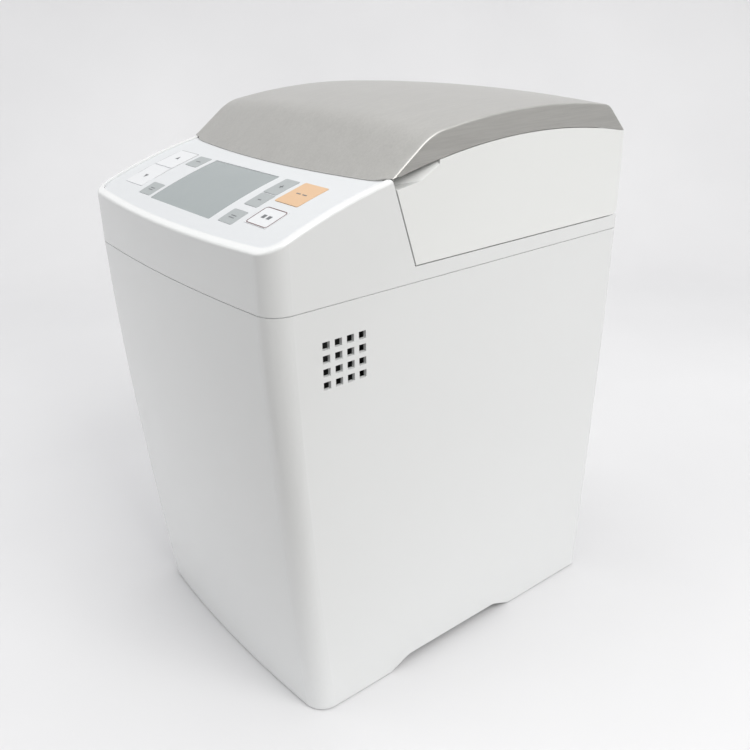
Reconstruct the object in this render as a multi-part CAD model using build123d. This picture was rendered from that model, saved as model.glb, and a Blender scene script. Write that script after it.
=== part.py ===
from build123d import *
import math
import os

# A countertop bread machine: tapered lower housing, upper frame with a sloping
# control panel, a deep hinged lid with a brushed cover, a baking chamber with a
# lift-out pan, and a belt drive underneath.
# Millimetres, +Z up, the front faces -Y, origin on the floor under the middle.

# ---- driving dimensions: the outer body ----
width = 230.0
depth = 302.0
seam_height = 297.0
seam_gap = 0.6
skirt_clearance = 1.0
wall = 2.6
front_bow = 5.7
front_corner_radius = 15.0
rear_corner_radius = 4.0
side_taper = 5.0
front_taper = 20.2
rear_taper = 5.2
taper_power = 1.53
taper_sections = 5
arch_rise = 8.5
arch_front = -61.0
arch_rear = 62.0
arch_slant = 17.0

# ---- driving dimensions: the side vents ----
vent_count = 4
vent_wide = 5.2
vent_tall = 5.0
vent_pitch_y = 8.7
vent_pitch_z = 8.3
vent_first_y = -110.4
vent_top_z = 274.1

# ---- driving dimensions: the control panel ----
rim_rear_y = -60.5
rim_rear_z = 360.5
rim_slope = 0.1917
rim_curve = 0.001595
rim_wide = 4.4
rim_round = 2.0
panel_drop = 1.4
overlay_thick = 0.8
overlay_clearance = 0.3
console_skin = 2.6
key_proud = 0.2
key_corner = 1.2
key_edge_round = 0.12
key_clearance = 0.2
key_travel = 0.6
key_flange = 1.2
key_stem = 4.0
board_depth = 18.0
board_thick = 1.6
switch_tall = 4.0
panel_mid_y = -108.5
window_corner = 1.2
window_ledge = 1.5
window_gap = 0.1
window_sink = 0.15
window_thick = 1.2
display_gap = 0.3
display_plate = 3.0
display_wall = 1.5

# ---- driving dimensions: the deck, the lid and its hinge ----
deck_height = 307.0
deck_thick = 3.0
lid_gap = 0.8
slant_foot_y = -43.5
hinge_radius = 8.0
pin_radius = 2.0
pin_clearance = 0.06
knuckle_radius = 7.0
lug_middle_x = 68.0
lug_wide = 16.0
knuckle_wide = 6.0
knuckle_clearance = 0.6
cover_edge_peak_y = 56.0
cover_edge_peak_z = 374.8
cover_edge_radius = 460.0
cover_gap = 0.4
cover_thick = 2.0
crown = 4.0
top_peak_y = 55.2
top_side_z = 390.0
top_radius = 500.0
brow_y = -31.2
brow_radius = 14.0
brow_slope = 0.735
top_rear_y = 129.6
rear_break_radius = 5.0
cover_rear_y = 147.5
cover_rear_z = 367.0
lid_rear_break_z = 330.0
vent_strip_half = 74.0
vent_strip_wide = 4.0
vent_strip_y = 128.5
vent_strip_depth = 9.0
strip_clearance = 0.2

# ---- driving dimensions: the chamber and the pan ----
chamber_y = 48.0
chamber_wide = 172.0
chamber_deep = 150.0
chamber_floor = 95.0
chamber_sheet = 1.0
chamber_radius = 24.0
chamber_flange = 10.0
pan_wide = 134.0
pan_deep = 112.0
pan_radius = 26.0
pan_sheet = 1.6
pan_bottom = 118.0
pan_top = 262.0
pan_lip = 3.0
pan_lip_tall = 3.5
foot_radius = 42.5
foot_sheet = 3.0
foot_clearance = 0.4
mount_wall = 4.0
mount_tall = 15.0
bail_height = 252.0
bail_reach = 64.0
bail_wire = 2.5
bail_side_gap = 0.6
bail_pin_radius = 2.4
bail_eye_radius = 5.0
fit_clearance = 0.05

# ---- driving dimensions: heater, drive and electronics ----
heater_height = 130.0
heater_tube = 3.2
heater_inset = 9.0
heater_corner = 32.0
heater_leg_x = 14.0
heater_leg_radius = 8.0
heater_leg_out = 17.0
base_bottom = 9.5
base_thick = 2.5
boss_x = 102.5
boss_radius = 6.0
boss_top = 40.0
boss_front_y = -92.0
boss_rear_y = 118.0
bracket_height = 78.0
bracket_thick = 2.5
post_x = 72.0
post_radius = 5.0
post_reach = 60.0
shaft_radius = 4.0
bush_radius = 7.0
bush_tall = 8.0
hub_radius = 10.0
large_pulley_radius = 45.0
small_pulley_radius = 9.0
pulley_bottom = 60.0
pulley_tall = 10.0
belt_thick = 2.0
belt_wide = 7.0
belt_clearance = 0.3
motor_y = -84.0
motor_wide = 72.0
motor_deep = 62.0
motor_tall = 52.0
motor_shaft_radius = 3.0
dog_wide = 6.0
dog_tall = 5.5
socket_radius = 13.0
pan_shaft_radius = 3.5
lid_dome_half = 80.0
lid_dome_front = -10.0
lid_dome_rear = 106.0
lid_dome_top = 322.0
lid_sheet = 1.5
seal_reach = 7.0
seal_gap = 0.6
dispenser_wide = 60.0
dispenser_front = 2.0
dispenser_rear = 50.0
dispenser_tall = 33.0
flap_thick = 2.0
flap_pin_radius = 1.2
flap_barrel_radius = 2.2

# Keys: name -> middle x, middle y, width, depth in plan.
keys = {
    "key_start": (73.4, -94.5, 23.4, 22.6),
    "key_cancel": (75.2, -120.0, 22.6, 16.6),
    "key_menu_up": (-83.0, -94.2, 25.0, 21.4),
    "key_menu_down": (-83.0, -117.2, 25.0, 22.4),
    "key_left_upper": (-57.2, -90.6, 15.8, 13.0),
    "key_left_lower": (-55.8, -127.5, 15.8, 12.2),
    "key_right_upper": (49.6, -92.6, 14.4, 17.4),
    "key_right_middle": (50.2, -108.8, 14.4, 13.4),
    "key_right_lower": (49.8, -127.2, 15.4, 12.2),
}
window_x = -5.0
window_wide = 78.4
window_front_y = -135.0
window_rear_y = -84.0

half_width = width / 2
window_mid_y = (window_front_y + window_rear_y) / 2
window_seat_drop = panel_drop + window_sink + window_thick
half_depth = depth / 2
lid_bottom = deck_height + lid_gap
hinge_y = half_depth - hinge_radius
hinge_z = lid_bottom + hinge_radius
bed_drop = panel_drop + overlay_thick
skin_drop = bed_drop + console_skin
top_peak_z = top_side_z + crown
crown_axis_z = top_peak_z - crown / 2 - half_width**2 / (2 * crown)
chamber_mouth = deck_height - deck_thick
lid_mouth_rear = hinge_y - hinge_radius - 2
base_top = base_bottom + base_thick
dome_skin_top = lid_dome_top + lid_sheet


# ---- small shape helpers ----
def box(x0, x1, y0, y1, z0, z1):
    middle = Pos((x0 + x1) / 2, (y0 + y1) / 2, (z0 + z1) / 2)
    return middle * Box(x1 - x0, y1 - y0, z1 - z0)


def rod(x, y, z0, z1, radius):
    return Pos(x, y, (z0 + z1) / 2) * Cylinder(radius, z1 - z0)


def tube(x, y, z0, z1, radius, bore):
    return rod(x, y, z0, z1, radius) - rod(x, y, z0 - 1, z1 + 1, bore)


def rod_along_x(x0, x1, y, z, radius):
    return Pos((x0 + x1) / 2, y, z) * Rot(0, 90, 0) * Cylinder(radius, x1 - x0)


def rod_along_y(x, y0, y1, z, radius):
    return Pos(x, (y0 + y1) / 2, z) * Rot(90, 0, 0) * Cylinder(radius, y1 - y0)


def rounded_block(x, y, wide, deep, z0, z1, radius):
    return Pos(x, y, z0) * extrude(RectangleRounded(wide, deep, radius), z1 - z0)


def side_prism(edges, half):
    """A closed outline in the YZ plane, carried from -half to half along X."""
    return extrude(Plane.YZ.offset(-half) * make_face(edges), 2 * half)


def both_sides(solid):
    return solid + mirror(solid, about=Plane.YZ)


# ---- the outer body shape ----
def body_outline(side_in, front_in, rear_in, skin):
    """Plan outline of the body: bowed front, straight sides and rear."""
    x = half_width - side_in - skin
    y_front = -half_depth + front_in + skin
    y_corner = y_front + front_bow
    y_rear = half_depth - rear_in - skin
    front = ThreePointArc((-x, y_corner), (0, y_front), (x, y_corner))
    right = Line((x, y_corner), (x, y_rear))
    rear = Line((x, y_rear), (-x, y_rear))
    left = Line((-x, y_rear), (-x, y_corner))
    face = make_face([front, right, rear, left])
    corners = face.vertices().group_by(Axis.Y)
    face = fillet(corners[-1], max(rear_corner_radius - skin, 1.0))
    corners = face.vertices().sort_by(Axis.Y)[:2]
    return fillet(corners, front_corner_radius - skin)


def taper_at(z):
    """How far the lower housing has drawn in at a height, as a share."""
    return max(1 - z / seam_height, 0) ** taper_power


def tapered_body(skin, z0, z1):
    sections = []
    for step in range(taper_sections):
        z = z0 + (z1 - z0) * step / (taper_sections - 1)
        share = taper_at(z)
        outline = body_outline(side_taper * share, front_taper * share, rear_taper * share, skin)
        sections.append(Pos(0, 0, z) * outline)
    return loft(sections)


def straight_body(skin, z0, z1):
    return Pos(0, 0, z0) * extrude(body_outline(0, 0, 0, skin), z1 - z0)


def panel_height(y):
    """Height of the control panel's rim."""
    return rim_rear_z + rim_slope * (y - rim_rear_y) - rim_curve * (y - rim_rear_y) ** 2


def panel_angle(y):
    return math.degrees(math.atan(rim_slope - 2 * rim_curve * (y - rim_rear_y)))


def on_panel(x, y, drop):
    """A frame on the panel at x, y, with its Z along the panel's normal."""
    angle = panel_angle(y)
    lean = math.radians(angle)
    place = Pos(x, y + drop * math.sin(lean), panel_height(y) - drop * math.cos(lean))
    return place * Rot(angle, 0, 0)


slant_run = (slant_foot_y - rim_rear_y) / (rim_rear_z - deck_height)


def console_block(drop, back, half):
    """Everything under the panel surface and in front of the slanted joint."""
    front = -half_depth - 15
    middle = (front + rim_rear_y) / 2
    low = seam_height - 20
    head_y = rim_rear_y + drop * slant_run + back
    head = (head_y, panel_height(rim_rear_y) - drop)
    foot = (slant_foot_y + back, deck_height)
    surface = ThreePointArc(
        (front, panel_height(front) - drop), (middle, panel_height(middle) - drop), head
    )
    rest = Polyline(head, foot, (foot[0], low), (front, low), (front, panel_height(front) - drop))
    return side_prism([surface, rest], half)


# ---- lower housing ----
def vent_cuts():
    cuts = []
    for column in range(vent_count):
        for row in range(vent_count):
            y = vent_first_y + column * vent_pitch_y
            z = vent_top_z - row * vent_pitch_z
            cuts.append(Pos(0, y, z) * Box(width + 20, vent_wide, vent_tall))
    return cuts


def skirt_arch():
    low = -5.0
    outline = Polyline(
        (arch_front, low),
        (arch_front, skirt_clearance),
        (arch_front + arch_slant, arch_rise),
        (arch_rear - arch_slant, arch_rise),
        (arch_rear, skirt_clearance),
        (arch_rear, low),
        close=True,
    )
    face = make_face(outline)
    upper = face.vertices().group_by(Axis.Y)[-1]
    face = fillet(upper, arch_slant)
    return extrude(Plane.YZ.offset(-width) * face, 2 * width)


rear_cover_half = 88.0
rear_cover_low = 34.0
rear_cover_high = 262.0
rear_cover_gap = 0.4
rear_ledge = 12.0


def rear_wall_slab(half, low, high, skin_from, skin_to):
    """A piece of the rear wall, between two depths under the outer face."""
    outer = tapered_body(skin_from, skirt_clearance, seam_height)
    inner = tapered_body(skin_to, skirt_clearance, seam_height)
    window = box(-half, half, 100, half_depth + 5, low, high)
    return (outer & window) - inner


def boss_places():
    return [(x, y) for x in (-boss_x, boss_x) for y in (boss_front_y, boss_rear_y)]


def lower_housing():
    outer = tapered_body(0, skirt_clearance, seam_height)
    inner = tapered_body(wall, skirt_clearance - 0.5, seam_height + 0.5)
    shell = outer - inner
    opening = box(
        -rear_cover_half, rear_cover_half, 100, half_depth + 5, rear_cover_low, rear_cover_high
    )
    shell = shell - opening
    ledge = rear_wall_slab(
        rear_cover_half + rear_ledge,
        rear_cover_low - rear_ledge,
        rear_cover_high + rear_ledge,
        wall,
        wall + 2,
    )
    hole = box(
        -rear_cover_half + rear_ledge,
        rear_cover_half - rear_ledge,
        100,
        half_depth,
        rear_cover_low + rear_ledge,
        rear_cover_high - rear_ledge,
    )
    shell = shell + (ledge - hole)
    for x, y in boss_places():
        shell = shell + rod(x, y, base_top, boss_top, boss_radius)
        shell = shell - rod(x, y, base_top - 1, boss_top - 6, screw_radius)
    for x, z in rear_screw_places():
        shell = shell - rod_along_y(x, 120, half_depth + 5, z, screw_radius)
    shell = shell - skirt_arch()
    for cut in vent_cuts():
        shell = shell - cut
    return shell


screw_radius = 1.9
screw_head_radius = 3.8
screw_head_tall = 2.0
rear_head_deep = 1.4


def rear_screw_places():
    x = rear_cover_half - rear_ledge / 2
    z_low = rear_cover_low + rear_ledge / 2
    z_high = rear_cover_high - rear_ledge / 2
    return [(sx, z) for sx in (-x, x) for z in (z_low, z_high)]


gland_x = 62.0
gland_z = 58.0
gland_radius = 9.0
gland_bore = 4.0
louvre_count = 9
louvre_pitch = 9.0
louvre_tall = 3.6
louvre_half = 58.0
louvre_low = 150.0


def rear_cover():
    plate = rear_wall_slab(
        rear_cover_half - rear_cover_gap,
        rear_cover_low + rear_cover_gap,
        rear_cover_high - rear_cover_gap,
        0,
        wall,
    )
    for row in range(louvre_count):
        z = louvre_low + row * louvre_pitch
        plate = plate - box(-louvre_half, -2, 120, half_depth + 5, z, z + louvre_tall)
        plate = plate - box(2, louvre_half, 120, half_depth + 5, z, z + louvre_tall)
    plate = plate - rod_along_y(gland_x, 120, half_depth + 5, gland_z, gland_radius)
    for x, z in rear_screw_places():
        plate = plate - rod_along_y(x, 120, half_depth + 5, z, screw_radius)
        seat = rear_face_y(z) - rear_head_deep
        plate = plate - rod_along_y(x, seat, half_depth + 5, z, screw_head_radius + 0.2)
    return plate


def rear_face_y(z):
    return half_depth - rear_taper * taper_at(z)


def rear_screws():
    parts = []
    for x, z in rear_screw_places():
        y = rear_face_y(z)
        head = rod_along_y(x, y - rear_head_deep, y - 0.1, z, screw_head_radius)
        shank = rod_along_y(x, y - 9, y - rear_head_deep, z, screw_radius)
        parts.append(head + shank)
    return Compound(children=parts)


def cord_gland():
    y = rear_face_y(gland_z)
    body = rod_along_y(gland_x, y - 12, y + 0.3, gland_z, gland_radius)
    collar = rod_along_y(gland_x, y + 0.3, y + 2.3, gland_z, gland_radius + 2.5)
    bore = rod_along_y(gland_x, y - 20, y + 10, gland_z, gland_bore)
    return body + collar - bore


def base_plate():
    share = taper_at(base_top)
    skin = wall + 0.4
    outline = body_outline(side_taper * share, front_taper * share, rear_taper * share, skin)
    plate = Pos(0, 0, base_bottom) * extrude(outline, base_thick)
    for x, y in boss_places():
        plate = plate - rod(x, y, 0, 50, screw_radius)
    for x, y in foot_places():
        plate = plate - rod(x, y, 0, 50, foot_plug_radius)
    for x, y in post_places():
        plate = plate - rod(x, y, 0, 50, screw_radius)
    for row in range(6):
        y = chamber_y - 30 + row * 12
        plate = plate - box(-50, -6, y, y + 5, 0, 50)
        plate = plate - box(6, 50, y, y + 5, 0, 50)
    return plate


foot_radius_outer = 9.0
foot_plug_radius = 3.5


def foot_places():
    return [(x, y) for x in (-84.0, 84.0) for y in (-104.0, 122.0)]


def rubber_feet():
    parts = []
    for x, y in foot_places():
        pad = fillet(rod(x, y, 0, base_bottom, foot_radius_outer).edges().group_by(Axis.Z)[0], 1.5)
        parts.append(pad + rod(x, y, base_bottom, base_top + 2, foot_plug_radius))
    return Compound(children=parts)


def base_screws():
    parts = []
    for x, y in boss_places() + post_places():
        head = rod(x, y, base_bottom - screw_head_tall, base_bottom, screw_head_radius)
        parts.append(head + rod(x, y, base_bottom, base_top + 14, screw_radius))
    return Compound(children=parts)


# ---- upper frame and control panel ----
def recess_cutter():
    """The shallow recess inside the panel's raised rim, open towards the lid."""
    outline = body_outline(0, 0, 0, rim_wide)
    prism = Pos(0, 0, seam_height) * extrude(outline, 100)
    above = box(-half_width, half_width, -half_depth, -40, seam_height, 400)
    return (prism & above) - console_block(bed_drop, 0, width)


def key_cut(x, y, wide, deep, extra):
    lean = math.radians(panel_angle(y))
    size = (wide + 2 * extra, deep / math.cos(lean) + 2 * extra)
    return on_panel(x, y, panel_drop) * Pos(0, 0, -10) * extrude(
        RectangleRounded(size[0], size[1], key_corner + extra), 20
    )


def window_cut(extra):
    """The window's outline, grown by extra, right through the panel."""
    lean = math.radians(panel_angle(window_mid_y))
    deep = (window_rear_y - window_front_y) / math.cos(lean)
    corner = max(window_corner + extra, 0.5)
    shape = RectangleRounded(window_wide + 2 * extra, deep + 2 * extra, corner)
    return on_panel(window_x, window_mid_y, panel_drop) * Pos(0, 0, -12) * extrude(shape, 24)


def hinge_lug():
    x0 = lug_middle_x - lug_wide / 2
    x1 = lug_middle_x + lug_wide / 2
    web = box(x0, x1, hinge_y - knuckle_radius, hinge_y + knuckle_radius, chamber_mouth, hinge_z)
    lug = web + rod_along_x(x0, x1, hinge_y, hinge_z, knuckle_radius)
    return lug - rod_along_x(x0 - 1, x1 + 1, hinge_y, hinge_z, pin_radius)


def flange_screw_places():
    x = chamber_wide / 2 + chamber_flange / 2
    return [(sx, chamber_y + dy) for sx in (-x, x) for dy in (-40.0, 40.0)]


def upper_frame():
    low = seam_height + seam_gap
    outside = straight_body(0, low, rim_rear_z + 20)
    deck_part = box(-width, width, -200, 200, low - 20, deck_height)
    console = outside & console_block(0, 0, width)
    rim_edges = [
        edge
        for edge in console.edges()
        if edge.center().Z > panel_height(edge.center().Y) - 1 and edge.center().Y < rim_rear_y - 1
    ]
    console = fillet(rim_edges, rim_round)
    frame = console + (outside & deck_part)
    hollow = straight_body(wall, low - 1, rim_rear_z + 20)
    under_deck = box(-width, width, -200, 200, low - 20, chamber_mouth)
    frame = frame - (hollow & console_block(skin_drop, -wall, width))
    frame = frame - (hollow & under_deck)
    frame = frame - recess_cutter()
    mouth = rounded_block(
        0, chamber_y, chamber_wide, chamber_deep, low - 5, deck_height + 5, chamber_radius
    )
    frame = frame - mouth
    for name in keys:
        x, y, wide, deep = keys[name]
        frame = frame - key_cut(x, y, wide, deep, key_clearance)
    frame = frame - window_cut(-window_ledge)
    frame = frame - (window_cut(0) - console_block(window_seat_drop, 0, width))
    frame = frame + both_sides(hinge_lug())
    for x, y in flange_screw_places():
        frame = frame - rod(x, y, low, deck_height - 1, screw_radius)
    return frame


def control_overlay():
    outline = body_outline(0, 0, 0, rim_wide + overlay_clearance)
    prism = Pos(0, 0, seam_height) * extrude(outline, 100)
    slab = console_block(panel_drop, -1.5, width) - console_block(bed_drop, 0, width + 5)
    sheet = prism & slab
    for name in keys:
        x, y, wide, deep = keys[name]
        sheet = sheet - key_cut(x, y, wide, deep, key_clearance)
    return sheet - window_cut(0)


def lcd_window():
    """A clear lens, curved with the panel, resting on the frame's ledge."""
    top = console_block(panel_drop + window_sink, 0, width)
    return (window_cut(-window_gap) & top) - console_block(window_seat_drop, 0, width + 5)


def lcd_module():
    """A flat display on a carrier that stands on the control board."""
    half_span = (window_rear_y - window_front_y) / 2
    top_drop = window_seat_drop + display_gap + rim_curve * half_span**2
    tall = board_depth - top_drop
    lean = math.radians(panel_angle(window_mid_y))
    inset = 2 * (window_ledge + display_gap)
    wide = window_wide - inset
    deep = 2 * half_span / math.cos(lean) - inset
    along = (window_mid_y - panel_mid_y) / math.cos(lean)
    body = Pos(0, 0, tall / 2) * Box(wide, deep, tall)
    hollow = Pos(0, 0, (tall - display_plate) / 2) * Box(
        wide - 2 * display_wall, deep - 2 * display_wall, tall - display_plate
    )
    return board_frame() * Pos(window_x, along, 0) * (body - hollow)


def board_frame():
    """A frame on the control board's top face."""
    return on_panel(0, panel_mid_y, board_depth)


def stem_length(y):
    """From the panel surface at y, along its normal, to just above a switch."""
    lean = math.radians(panel_angle(y))
    lean_board = math.radians(panel_angle(panel_mid_y))
    normal = (-math.sin(lean), math.cos(lean))
    board_normal = (-math.sin(lean_board), math.cos(lean_board))
    start = (y + panel_drop * math.sin(lean), panel_height(y) - panel_drop * math.cos(lean))
    board = (
        panel_mid_y + board_depth * math.sin(lean_board),
        panel_height(panel_mid_y) - board_depth * math.cos(lean_board),
    )
    gap = (start[0] - board[0]) * board_normal[0] + (start[1] - board[1]) * board_normal[1]
    reach = gap - switch_tall - key_travel - 0.2
    return reach / (normal[0] * board_normal[0] + normal[1] * board_normal[1])


def key(name):
    x, y, wide, deep = keys[name]
    deep = deep / math.cos(math.radians(panel_angle(y)))
    under = skin_drop - panel_drop + 0.5
    cap = extrude(RectangleRounded(wide, deep, key_corner), key_proud + under)
    cap = fillet(cap.edges().group_by(Axis.Z)[-1], key_edge_round)
    flange = extrude(RectangleRounded(wide + 2.4, deep - 2.0, 2.0), -key_flange)
    stem = extrude(Rectangle(key_stem, key_stem), -(stem_length(y) - under))
    return on_panel(x, y, panel_drop) * Pos(0, 0, -under) * (cap + flange + stem)


def control_board():
    board = Box(width - 36, 66, board_thick, align=(Align.CENTER, Align.CENTER, Align.MAX))
    return board_frame() * board


def key_switches():
    parts = []
    mid = board_frame()
    lean_board = math.radians(panel_angle(panel_mid_y))
    for name in keys:
        x, y, wide, deep = keys[name]
        lean = math.radians(panel_angle(y))
        length = stem_length(y)
        end_y = y + (panel_drop + length) * math.sin(lean)
        end_z = panel_height(y) - (panel_drop + length) * math.cos(lean)
        origin_y = panel_mid_y + board_depth * math.sin(lean_board)
        origin_z = panel_height(panel_mid_y) - board_depth * math.cos(lean_board)
        along = (end_y - origin_y) * math.cos(lean_board) + (end_z - origin_z) * math.sin(lean_board)
        parts.append(mid * Pos(x, along, switch_tall / 2) * Box(6, 6, switch_tall))
    return Compound(children=parts)


# ---- chamber, heater and pan ----
def baking_chamber():
    top = chamber_mouth
    outer = rounded_block(
        0,
        chamber_y,
        chamber_wide + 2 * chamber_sheet,
        chamber_deep + 2 * chamber_sheet,
        chamber_floor,
        top,
        chamber_radius + chamber_sheet,
    )
    flange = rounded_block(
        0,
        chamber_y,
        chamber_wide + 2 * chamber_flange,
        chamber_deep + 2 * chamber_flange,
        top - chamber_sheet,
        top,
        chamber_radius + chamber_flange,
    )
    inside = rounded_block(
        0,
        chamber_y,
        chamber_wide,
        chamber_deep,
        chamber_floor + chamber_sheet,
        top + 5,
        chamber_radius,
    )
    chamber = outer + flange - inside
    chamber = chamber - rod(0, chamber_y, 80, 110, hub_radius - 2)
    for x in (-heater_leg_x, heater_leg_x):
        chamber = chamber - rod_along_y(x, -60, 0, heater_height, heater_tube + 1.2)
    chamber = chamber - rod_along_y(sensor_x, -60, 0, sensor_z, sensor_radius)
    for x, y in flange_screw_places():
        chamber = chamber - rod(x, y, top - 5, top + 5, screw_radius)
    return chamber


sensor_x = 45.0
sensor_z = 160.0
sensor_radius = 2.5


def chamber_screws():
    parts = []
    for x, y in flange_screw_places():
        top = chamber_mouth - chamber_sheet
        head = rod(x, y, top - screw_head_tall, top, screw_head_radius - 0.6)
        parts.append(head + rod(x, y, top, deck_height - 1.2, screw_radius))
    return Compound(children=parts)


def rounded_path(points, radii):
    """A run of straight lines with a tangent arc at each inner corner."""
    edges = []
    start = Vector(*points[0])
    for index in range(1, len(points) - 1):
        corner = Vector(*points[index])
        to_before = (Vector(*points[index - 1]) - corner).normalized()
        to_after = (Vector(*points[index + 1]) - corner).normalized()
        radius = radii[index - 1]
        enter = corner + to_before * radius
        leave = corner + to_after * radius
        centre = corner + (to_before + to_after) * radius
        middle = centre + (corner - centre).normalized() * radius
        edges.append(Line(start, enter))
        edges.append(ThreePointArc(enter, middle, leave))
        start = leave
    edges.append(Line(start, Vector(*points[-1])))
    return Wire([edge.edge() for edge in edges])


def bent_rod(points, radii, radius):
    path = rounded_path(points, radii)
    first = Vector(*points[1]) - Vector(*points[0])
    section = Plane(origin=points[0], z_dir=first) * Circle(radius)
    return sweep(section, path)


def heater():
    z = heater_height
    x = chamber_wide / 2 - heater_inset
    y_front = chamber_y - chamber_deep / 2 + heater_inset
    y_rear = chamber_y + chamber_deep / 2 - heater_inset
    y_out = y_front - heater_inset - heater_leg_out
    points = [
        (-heater_leg_x, y_out, z),
        (-heater_leg_x, y_front, z),
        (-x, y_front, z),
        (-x, y_rear, z),
        (x, y_rear, z),
        (x, y_front, z),
        (heater_leg_x, y_front, z),
        (heater_leg_x, y_out, z),
    ]
    small = heater_leg_radius
    big = heater_corner
    return bent_rod(points, [small, big, big, big, big, small], heater_tube)


def heater_clips():
    z = heater_height
    x = chamber_wide / 2
    y = chamber_y + chamber_deep / 2
    reach = heater_inset + heater_tube + 1.5
    side = box(x - reach, x, chamber_y - 5, chamber_y + 5, z - 5.5, z + 5.5)
    bore = rod_along_y(x - heater_inset, chamber_y - 20, chamber_y + 20, z, heater_tube)
    side = side - bore
    rear = box(-5, 5, y - reach, y, z - 5.5, z + 5.5)
    rear = rear - rod_along_x(-20, 20, y - heater_inset, z, heater_tube)
    return Compound(children=[side, mirror(side, about=Plane.YZ), rear])


def temperature_sensor():
    y = chamber_y - chamber_deep / 2
    probe = rod_along_y(sensor_x, y - 14, y + 9, sensor_z, sensor_radius)
    nut = rod_along_y(sensor_x, y - chamber_sheet - 5, y - chamber_sheet, sensor_z, 5.5)
    return probe + nut


def pan_mount():
    low = chamber_floor + chamber_sheet
    bore = foot_radius + foot_clearance
    ring = tube(0, chamber_y, low, low + mount_tall, bore + mount_wall, bore)
    return ring - box(-70, 70, chamber_y - 9, chamber_y + 9, low + 8, low + 40)


def bread_pan():
    body = rounded_block(0, chamber_y, pan_wide, pan_deep, pan_bottom, pan_top, pan_radius)
    lip = rounded_block(
        0,
        chamber_y,
        pan_wide + 2 * pan_lip,
        pan_deep + 2 * pan_lip,
        pan_top - pan_lip_tall,
        pan_top,
        pan_radius + pan_lip,
    )
    inside = rounded_block(
        0,
        chamber_y,
        pan_wide - 2 * pan_sheet,
        pan_deep - 2 * pan_sheet,
        pan_bottom + pan_sheet,
        pan_top + 5,
        pan_radius - pan_sheet,
    )
    body = fillet(body.edges().group_by(Axis.Z)[0], 8.0)
    inside = fillet(inside.edges().group_by(Axis.Z)[0], 8.0 - pan_sheet)
    pan = body + lip - inside
    foot_low = chamber_floor + chamber_sheet + 2
    pan = pan + tube(0, chamber_y, foot_low, pan_bottom + 1, foot_radius, foot_radius - foot_sheet)
    pan = pan + rod(0, chamber_y, pan_bottom - 4, pan_bottom + 6, 8.0)
    pan = pan - rod(0, chamber_y, 90, 160, pan_shaft_radius + fit_clearance)
    x0 = pan_wide / 2 - pan_sheet / 2
    x1 = pan_wide / 2 + pan_lip + bail_side_gap + 2 * bail_wire + 1
    pin = rod_along_x(x0, x1, chamber_y, bail_height, bail_pin_radius)
    head = rod_along_x(x1, x1 + 1.2, chamber_y, bail_height, bail_pin_radius + 1.5)
    return pan + both_sides(pin + head)


def pan_handle():
    """Bail handle, folded flat towards the rear, with an eye on each side pin."""
    x = pan_wide / 2 + pan_lip + bail_side_gap + bail_wire
    y_eye = chamber_y + bail_eye_radius - 1
    eye_half = bail_wire + 0.3
    y_end = chamber_y + bail_reach
    z = bail_height
    corners = [(-x, y_eye, z), (-x, y_end, z), (x, y_end, z), (x, y_eye, z)]
    bail = bent_rod(corners, [22.0, 22.0], bail_wire)
    for side in (-x, x):
        bail = bail + rod_along_x(side - eye_half, side + eye_half, chamber_y, z, bail_eye_radius)
    for side in (-x, x):
        bore = rod_along_x(side - 6, side + 6, chamber_y, z, bail_pin_radius + fit_clearance)
        bail = bail - bore
    return bail


coupling_top = pan_bottom - 4.4
coupling_disc = 3.0
socket_low = chamber_floor + chamber_sheet + 2.0
socket_disc = 4.0


def pan_shaft():
    return rod(0, chamber_y, coupling_top - coupling_disc, pan_bottom + 30, pan_shaft_radius)


def pan_coupling():
    """Drive wings under the pan, which mesh with the socket's wings."""
    disc = rod(0, chamber_y, coupling_top - coupling_disc, coupling_top, socket_radius)
    low = coupling_top - coupling_disc - dog_tall
    high = coupling_top - coupling_disc
    for side in (-1, 1):
        x0, x1 = sorted((side * 5.5, side * 11.5))
        disc = disc + box(x0, x1, chamber_y - dog_wide / 2, chamber_y + dog_wide / 2, low, high)
    return disc - rod(0, chamber_y, low - 5, high + 10, pan_shaft_radius)


def pan_seal():
    low = pan_bottom + 6
    return tube(0, chamber_y, low, low + 1.2, 7.0, pan_shaft_radius + fit_clearance)


def kneading_blade():
    low = pan_bottom + 8
    hub = rod(0, chamber_y, low, low + 15, 8.5)
    fin = Pos(0, chamber_y, low) * extrude(
        Pos(22, 0) * RectangleRounded(44, 5, 2.4), 18
    )
    fin = fin - Pos(58, chamber_y, low + 34) * Rot(90, 0, 0) * Cylinder(26, 20)
    blade = fillet(hub.edges().group_by(Axis.Z)[-1], 2.0) + fin
    return blade - rod(0, chamber_y, low - 1, low + 40, pan_shaft_radius)


# ---- drive ----
def post_places():
    return [(x, chamber_y + dy) for x in (-post_x, post_x) for dy in (-post_reach, post_reach)]


def chassis_posts():
    parts = []
    for x, y in post_places():
        post = rod(x, y, base_top, chamber_floor, post_radius)
        parts.append(post - rod(x, y, base_top - 1, base_top + 15, screw_radius))
    return Compound(children=parts)


def drive_bracket():
    z0 = bracket_height
    z1 = bracket_height + bracket_thick
    plate = Pos(0, (motor_y + chamber_y) / 2, z0) * extrude(
        RectangleRounded(2 * post_x + 18, chamber_y - motor_y + 2 * post_reach + 16, 10),
        bracket_thick,
    )
    plate = plate & box(-200, 200, motor_y - 36, 200, z0 - 1, z1 + 1)
    hub = rod(0, chamber_y, z1 - 6, chamber_floor - 1, hub_radius)
    plate = plate + hub - rod(0, chamber_y, z0 - 30, z0 + 60, bush_radius)
    for x, y in post_places():
        plate = plate - rod(x, y, z0 - 5, z1 + 5, post_radius)
    plate = plate - rod(0, motor_y, z0 - 5, z1 + 5, 14)
    for x, y in motor_screw_places():
        plate = plate - rod(x, y, z0 - 5, z1 + 5, screw_radius)
    return plate


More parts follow.
